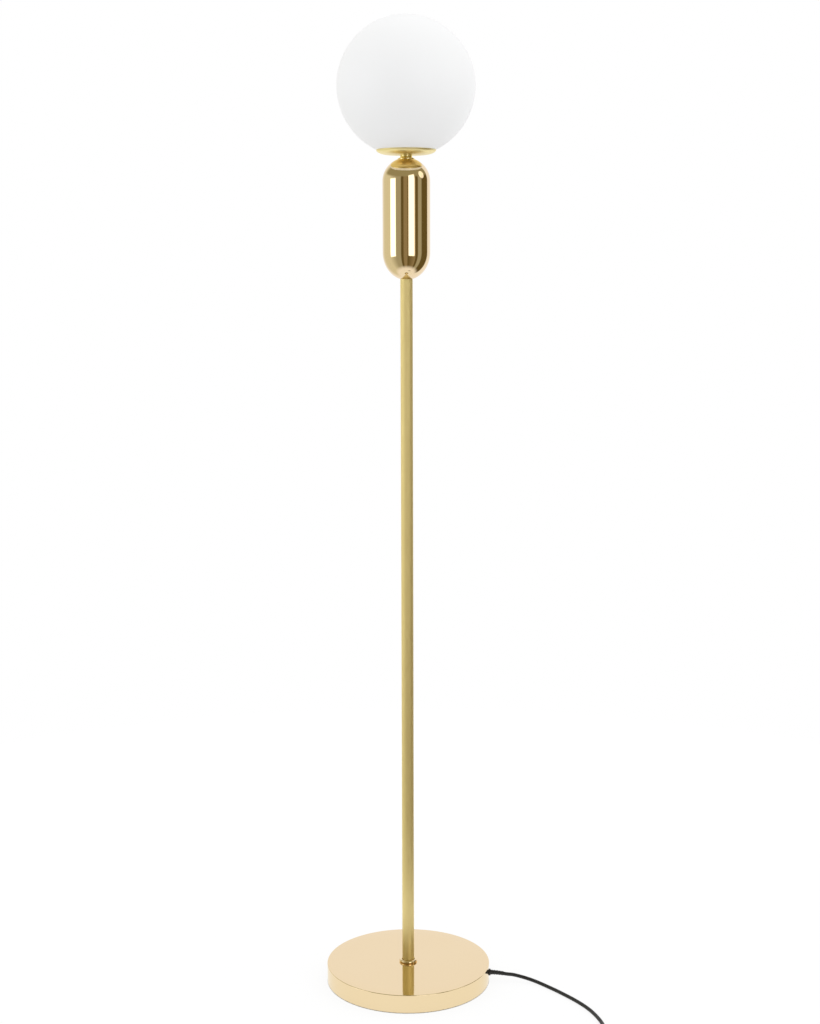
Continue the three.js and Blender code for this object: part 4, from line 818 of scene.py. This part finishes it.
def color_mix(tree, share, first, second):
    """The second colour laid over the first by its share; a mix node has its colours at inputs 6 and 7."""
    return node_link(tree, "ShaderNodeMix", share, *[None] * 5, first, second, output=2, data_type="RGBA")


def eased_range(tree, value, low, high, first=0.0, last=1.0):
    """The value's smooth step from first to last between low and high."""
    return node_link(tree, "ShaderNodeMapRange", value, low, high, first, last,
                     interpolation_type="SMOOTHSTEP")


# Shader groups, each used by several finishes

def new_group(name, output, **inputs):
    """A node group with one output. An input's kind follows from its default, and None is a plain vector."""
    group = bpy.data.node_groups.new(name, "ShaderNodeTree")
    for label, value in inputs.items():
        kind = "Float" if isinstance(value, float) else "Color" if value and len(value) == 4 else "Vector"
        socket = group.interface.new_socket(name=label, in_out="INPUT", socket_type=f"NodeSocket{kind}")
        if value is not None:
            socket.default_value = value
    kind = "Color" if output == "Color" else "Float"
    group.interface.new_socket(name=output, in_out="OUTPUT", socket_type=f"NodeSocket{kind}")
    return group, group.nodes.new("NodeGroupInput").outputs, group.nodes.new("NodeGroupOutput").inputs[0]


def two_tones():
    """Mixes two near tones by soft noise."""
    group, given, out = new_group("two tones", "Color", Vector=None, Scale=20.0,
                                  First=(1, 1, 1, 1), Second=(1, 1, 1, 1))
    noise = node_link(group, "ShaderNodeTexNoise", given["Vector"], None, given["Scale"], 4)
    group.links.new(color_mix(group, noise, given["First"], given["Second"]), out)
    return group


def surface_haze():
    """Roughness that drifts between two values, as handling and polishing leave it."""
    group, given, out = new_group("surface haze", "Value", Vector=None, Scale=15.0, Low=0.1, High=0.2)
    noise = node_link(group, "ShaderNodeTexNoise", given["Vector"], None, given["Scale"], 6, 0.6)
    group.links.new(node_link(group, "ShaderNodeMapRange", noise, 0.3, 0.7, given["Low"], given["High"]), out)
    return group


def grain():
    """Fine relief: noise, stretched by its own scale in each direction, for castings, mouldings and turned
    work."""
    group, given, out = new_group("grain", "Height", Vector=None, Stretch=(1, 1, 1), Scale=800.0, Detail=3.0)
    drawn = node_link(group, "ShaderNodeVectorMath", given["Vector"], given["Stretch"], operation="MULTIPLY")
    group.links.new(node_link(group, "ShaderNodeTexNoise", drawn, None, given["Scale"], given["Detail"]), out)
    return group


TWO_TONES, HAZE, GRAIN = two_tones(), surface_haze(), grain()


def finish(name, metallic, first, second, tone_scale, rough, rough_scale, relief, sockets=None):
    """A Principled material: two near tones, drifting roughness, and a relief of (scale, detail, strength,
    distance), with its stretch in each direction where it is uneven."""
    material = bpy.data.materials.new(name)
    material.use_nodes = True
    tree = material.node_tree
    shader = tree.nodes["Principled BSDF"].inputs
    shader["Metallic"].default_value = metallic
    for key, value in (sockets or {}).items():
        shader[key].default_value = value
    where = tree.nodes.new("ShaderNodeTexCoord").outputs["Object"]

    def grouped(group, *values):
        return node_link(tree, "ShaderNodeGroup", where, *values, node_tree=group)

    scale, detail, strength, distance, stretch = relief if len(relief) == 5 else (*relief, (1, 1, 1))
    tree.links.new(grouped(TWO_TONES, tone_scale, (*first, 1), (*second, 1)), shader["Base Color"])
    tree.links.new(grouped(HAZE, rough_scale, *rough), shader["Roughness"])
    bump = tree.nodes.new("ShaderNodeBump")
    bump.inputs["Strength"].default_value = strength
    bump.inputs["Distance"].default_value = distance
    tree.links.new(grouped(GRAIN, stretch, scale, detail), bump.inputs["Height"])
    tree.links.new(bump.outputs["Normal"], shader["Normal"])
    return material


# Name: metallic, two tones and their scale, roughness from and to and its scale, relief, other sockets
FINISHES = {
    "polished gold": (
        1, (0.885, 0.72, 0.465), (0.87, 0.70, 0.44), 9, (0.04, 0.08), 14, (30, 2, 0.008, 0.001)),
    # Painted reflection: the neck's finish is the polished gold made brighter and yellower, standing in for
    # the bright light it mirrors
    "neck gold with painted reflection": (1, (0.96, 0.83, 0.45), (0.945, 0.81, 0.42), 14, (0.20, 0.26), 20, (40, 2, 0.01, 0.001)),
    # Painted reflection: the dish's finish is the polished gold made brighter, yellower and rougher, standing
    # in for the bright light mirrored on its underside
    "dish gold with painted reflection": (
        1, (0.99, 0.875, 0.47), (0.975, 0.855, 0.44), 14, (0.40, 0.46), 20, (40, 2, 0.01, 0.001)),
    "satin gold": (
        1, (0.93, 0.785, 0.39), (0.91, 0.765, 0.365), 14, (0.50, 0.56), 12,
        (900, 1, 0.02, 0.0002, (1, 1, 0.01)),
        {"Anisotropic": 0.75}),
    "zinc plate": (
        1, (0.50, 0.51, 0.53), (0.42, 0.43, 0.46), 120, (0.28, 0.42), 160, (900, 3, 0.1, 0.0002)),
    "threaded zinc": (
        1, (0.46, 0.47, 0.49), (0.36, 0.37, 0.40), 120, (0.32, 0.45), 160,
        (900, 0, 0.8, 0.0004, (0.001, 0.001, 1))),
    "spring steel": (
        1, (0.40, 0.41, 0.43), (0.33, 0.34, 0.36), 200, (0.22, 0.34), 220,
        (1500, 2, 0.1, 0.0002, (1, 1, 0.1))),
    "plain brass": (
        1, (0.60, 0.42, 0.14), (0.52, 0.35, 0.11), 150, (0.22, 0.36), 200, (1200, 3, 0.08, 0.0002)),
    "nickel cap": (
        1, (0.62, 0.61, 0.59), (0.55, 0.54, 0.52), 150, (0.18, 0.30), 200, (700, 3, 0.06, 0.0002)),
    "cast iron": (
        0.7, (0.045, 0.046, 0.048), (0.075, 0.074, 0.072), 60, (0.62, 0.85), 90, (420, 5, 0.6, 0.0006)),
    "black moulding": (
        0, (0.012, 0.012, 0.013), (0.018, 0.018, 0.019), 90, (0.42, 0.55), 120, (1800, 3, 0.25, 0.0002)),
    "glossy black moulding": (
        0, (0.01, 0.01, 0.011), (0.014, 0.014, 0.015), 60, (0.2, 0.3), 80, (500, 2, 0.05, 0.0002)),
    "cord sheath": (
        0, (0.008, 0.008, 0.009), (0.013, 0.013, 0.014), 70, (0.44, 0.54), 90, (1400, 3, 0.15, 0.0002)),
    "foam pad": (
        0, (0.016, 0.016, 0.017), (0.03, 0.03, 0.031), 500, (0.85, 0.95), 300, (1600, 2, 0.7, 0.0004)),
    "white moulding": (
        0, (0.80, 0.80, 0.78), (0.77, 0.77, 0.75), 40, (0.38, 0.5), 80, (1500, 3, 0.08, 0.0002)),
    "insulating board": (
        0, (0.74, 0.72, 0.66), (0.69, 0.67, 0.61), 120, (0.35, 0.55), 160, (900, 3, 0.15, 0.0002)),
    "opal glass": (
        0, (0.935, 0.94, 0.945), (0.925, 0.93, 0.935), 7, (0.42, 0.50), 18, (300, 2, 0.02, 0.0002),
        {"Specular IOR Level": 0.35}),
    "milky diffuser": (
        0, (0.88, 0.88, 0.86), (0.86, 0.86, 0.84), 20, (0.4, 0.5), 60, (1200, 2, 0.05, 0.0002)),
    "brown core": (
        0, (0.13, 0.045, 0.015), (0.11, 0.038, 0.012), 120, (0.35, 0.48), 150, (1500, 2, 0.1, 0.0002)),
    "blue core": (
        0, (0.02, 0.10, 0.32), (0.018, 0.085, 0.28), 120, (0.35, 0.48), 150, (1500, 2, 0.1, 0.0002)),
}
LOOKS = {name: finish(name, *values) for name, values in FINISHES.items()}


# The rest of the cord, as the last piece, from the switch to the plug

cord_wound = swept("flex_wound", wound_path, circle(CORD_D / 2, 16))


# Pieces by body, the record's slot and finish, each with the nodes that it stands for

DRESSED = (
    ("stand", "polished_gold", "polished gold",
     {"base_cover": base, "stem_collar": collar, "capsule_shell": capsule}),
    # The neck is polished gold; its brighter, yellower finish is painted reflection
    ("stand", "polished_gold", "neck gold with painted reflection", {"capsule_neck": neck}),
    # The dish is polished gold; its brighter, yellower finish is painted reflection
    ("stand", "polished_gold", "dish gold with painted reflection", {"globe_dish": dish}),
    ("stand", "satin_gold", "satin gold", {"stem_tube": tube}),
    ("stand", "steel", "zinc plate",
     {"holder_cup": cup, "dish_nut": dish_nut, "rod_nut": rod_nut,
      **{f"plate_screw_{k + 1}": piece for k, piece in enumerate(plate_screws)},
      **{f"switch_screw_{k + 1}": piece for k, piece in enumerate(switch_screws)}}),
    ("stand", "steel", "spring steel",
     {"switch_spring": spring, **{f"globe_clip_{k + 1}": piece for k, piece in enumerate(clips)}}),
    ("stand", "brass_contact", "plain brass",
     {"screw_shell": thread_shell, "plug_pin_1": pin_a, "plug_pin_2": pin_b}),
    ("stand", "black_plastic", "foam pad", {"base_pad": pad}),
    ("stand", "black_plastic", "black moulding",
     {"holder_cap": holder_cap, "holder_skirt": holder_skirt, "switch_base": switch_tray,
      "switch_cover": switch_lid, "plug_body": plug_shell}),
    ("stand", "black_plastic", "glossy black moulding", {"coil_tie": tie}),
    ("foot_button", "black_plastic", "glossy black moulding", {"switch_button": foot_button}),
    ("stand", "black_pvc", "cord sheath",
     {"cable_gland": sleeve, "cord_lead": cord_lead, "cord_tail cord_coil": cord_wound}),
    ("globe", "opal_glass", "opal glass", {"glass_globe": globe}),
    ("bulb", "bulb_diffuser", "milky diffuser", {"bulb_dome": bulb_dome}),
    ("bulb", "white_plastic", "white moulding", {"bulb_body": bulb_body}),
    ("bulb", "steel", "nickel cap", {"bulb_cap": screw}),
)
for body, slot, look, pieces in DRESSED:
    for nodes, piece in pieces.items():
        piece.data.materials.clear()
        piece.data.materials.append(LOOKS[look])
        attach(piece, body)
        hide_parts(*nodes.split())
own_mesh(spring)

KEPT_NODES = {
    "cast iron": "base_weight", "black moulding": "bottom_plate cord_clamp",
    "zinc plate": "rod_washer lower_bush upper_bush capsule_spacer clamp_screw_1 clamp_screw_2",
    "threaded zinc": "base_rod capsule_rod", "white moulding": "terminal_block", "brown core": "live_wire",
    "blue core": "neutral_wire", "cord sheath": "inner_cord", "nickel cap": "bulb_contact",
    "insulating board": "holder_insulator led_board", "glossy black moulding": "bulb_insulator",
    "plain brass": "centre_contact live_terminal neutral_terminal",
}
for look, nodes in KEPT_NODES.items():
    for node in nodes.split():
        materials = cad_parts[node].data.materials
        materials.clear()
        materials.append(LOOKS[look])


# Floor, world and lamps

WHITE = (1, 1, 1, 1)
PALE, SIDE = (0.97, 0.95, 0.96), (0.74, 0.72, 0.58)
DIM, BROWN, DARK = (0.40, 0.375, 0.27), (0.30, 0.235, 0.13), (0.13, 0.095, 0.03)
OVERHEAD = (0.33, 0.30, 0.18)
SCREEN_LIGHT = 2.3
NONE, HALF_LIT, FULL = (0, 0, 0), (0.82, 0.82, 0.82), (1, 1, 1)
# Ramps over the compass: degrees from -Y, the camera's side, towards +X, and the colour there
ROOM = [(-180, PALE), (-158, PALE), (-130, SIDE), (-88, SIDE), (-50, DIM), (-28, DIM), (-24, DARK),
        (-16, DARK), (-11, BROWN), (3, BROWN), (8, DARK), (44, BROWN), (47, DARK), (56, DARK), (60, DIM),
        (76, DIM), (81, DARK), (119, DARK), (123, PALE), (180, PALE)]
SCREENS = [(-180, NONE), (-84, NONE), (-80, FULL), (-56, FULL), (-51, NONE), (9, NONE), (13, HALF_LIT),
           (37, HALF_LIT), (42, NONE), (180, NONE)]
CAMERA_HALF = [(-180, NONE), (-140, NONE), (-115, FULL), (121, FULL), (125, NONE), (180, NONE)]


def studio_floor():
    """A pale disc. To the camera it is white round the base, less part of the shade that falls on it, and
    plain white towards its rim. In reflections it is white near the lamp and fades into the room farther
    out."""
    disc = [(0, -0.004), (1.6, -0.004), (1.6, -0.0002), (0, -0.0002)]
    floor = joined("studio_floor", [turned_body(disc, 128)], False)
    material = bpy.data.materials.new("studio floor")
    material.use_nodes = True
    tree = material.node_tree
    tree.nodes.clear()
    path = tree.nodes.new("ShaderNodeLightPath").outputs
    where = tree.nodes.new("ShaderNodeTexCoord").outputs["Object"]
    reach = node_link(tree, "ShaderNodeVectorMath", where, output="Value", operation="LENGTH")
    paper = node_link(tree, "ShaderNodeBsdfDiffuse", (0.80, 0.80, 0.80, 1))
    white = node_link(tree, "ShaderNodeEmission", WHITE, 1.03)
    near = node_link(tree, "ShaderNodeEmission", (1, 0.99, 0.96, 1), 1.0)
    beside = calc(tree, "GREATER_THAN", reach, BASE_R + 0.0002)
    seen = calc(tree, "MULTIPLY", path["Is Camera Ray"], beside)
    seen = calc(tree, "MULTIPLY", seen, eased_range(tree, reach, 0.3, 1.2, 0.86, 1.0))
    shade = node_link(tree, "ShaderNodeMixShader", seen, paper, white)
    shown = calc(tree, "MULTIPLY", path["Is Glossy Ray"], 0.9)
    shade = node_link(tree, "ShaderNodeMixShader", shown, shade, near)
    gone = calc(tree, "MULTIPLY", path["Is Glossy Ray"], eased_range(tree, reach, 0.2, 0.5))
    clear = node_link(tree, "ShaderNodeBsdfTransparent")
    shade = node_link(tree, "ShaderNodeMixShader", gone, shade, clear)
    tree.links.new(shade, tree.nodes.new("ShaderNodeOutputMaterial").inputs["Surface"])
    floor.data.materials.append(material)


def studio_world():
    """White behind the lamp. Polished metal mirrors a dimmer, warm room, drawn as a colour ramp over the
    compass, with two tall bright screens in it, one even brown above on the camera's side, and pale straight
    below. Matt surfaces get plain white light, which is weaker from below and from the camera's side."""
    world = bpy.data.worlds.new("studio")
    bpy.context.scene.world = world
    world.use_nodes = True
    tree = world.node_tree
    tree.nodes.clear()
    way = tree.nodes.new("ShaderNodeTexCoord").outputs["Generated"]
    split = tree.nodes.new("ShaderNodeSeparateXYZ")
    tree.links.new(way, split.inputs[0])
    x, y, z = split.outputs
    compass = calc(tree, "ARCTAN2", x, calc(tree, "MULTIPLY", y, -1.0))
    turn = calc(tree, "MULTIPLY_ADD", compass, 1 / (2 * math.pi), 0.5)

    def ramp(stops):
        node = tree.nodes.new("ShaderNodeValToRGB")
        tree.links.new(turn, node.inputs["Fac"])
        elements = node.color_ramp.elements
        while len(elements) > 1:
            elements.remove(elements[-1])
        elements[0].position, elements[0].color = 0, (*stops[0][1], 1)
        for degrees, color in stops[1:]:
            elements.new(degrees / 360 + 0.5).color = (*color, 1)
        return node.outputs["Color"]

    room, screens = ramp(ROOM), ramp(SCREENS)
    low = eased_range(tree, z, -0.24, -0.19)
    tall = eased_range(tree, calc(tree, "MULTIPLY_ADD", x, -0.22, z), 0.31, 0.43, 1.0, 0.0)
    held = calc(tree, "MULTIPLY", calc(tree, "MULTIPLY", low, tall), screens)
    above = calc(tree, "MULTIPLY", eased_range(tree, z, 0.27, 0.42), ramp(CAMERA_HALF))
    below = eased_range(tree, z, -0.92, -0.74, 1.0, 0.0)
    room = color_mix(tree, below, color_mix(tree, above, room, (*OVERHEAD, 1)), (*PALE, 1))
    lit = color_mix(tree, held, room, (SCREEN_LIGHT, SCREEN_LIGHT, SCREEN_LIGHT, 1))
    room = node_link(tree, "ShaderNodeBackground", lit, 1.0)
    white = node_link(tree, "ShaderNodeBackground", WHITE, 1.0)
    away = node_link(tree, "ShaderNodeVectorMath", way, (0.1, -0.45, -0.89), output="Value",
                     operation="DOT_PRODUCT")
    plain = node_link(tree, "ShaderNodeBackground", WHITE, eased_range(tree, away, 0.0, 0.95, 1.05, 0.72))
    path = tree.nodes.new("ShaderNodeLightPath").outputs
    shade = node_link(tree, "ShaderNodeMixShader", path["Is Glossy Ray"], plain, room)
    shade = node_link(tree, "ShaderNodeMixShader", path["Is Camera Ray"], shade, white)
    tree.links.new(shade, tree.nodes.new("ShaderNodeOutputWorld").inputs["Surface"])


def soft_lamp(name, place, aim, size, power):
    """A round area lamp at a place, facing a point."""
    data = bpy.data.lights.new(name, "AREA")
    data.shape = "DISK"
    data.size = size
    data.energy = power
    z = unit(np.array(place) - aim)
    x = unit(np.cross((0, 0, 1), z))
    turn = np.column_stack([x, np.cross(z, x), z, place])
    in_scene(name, data).matrix_world = Matrix([*turn.tolist(), (0, 0, 0, 1)])


studio_floor()
studio_world()
soft_lamp("side lamp", (2.357, -0.289, 2.277), (0, 0, 1.22), 1.3, 4)

bpy.context.scene.view_settings.view_transform = "Standard"
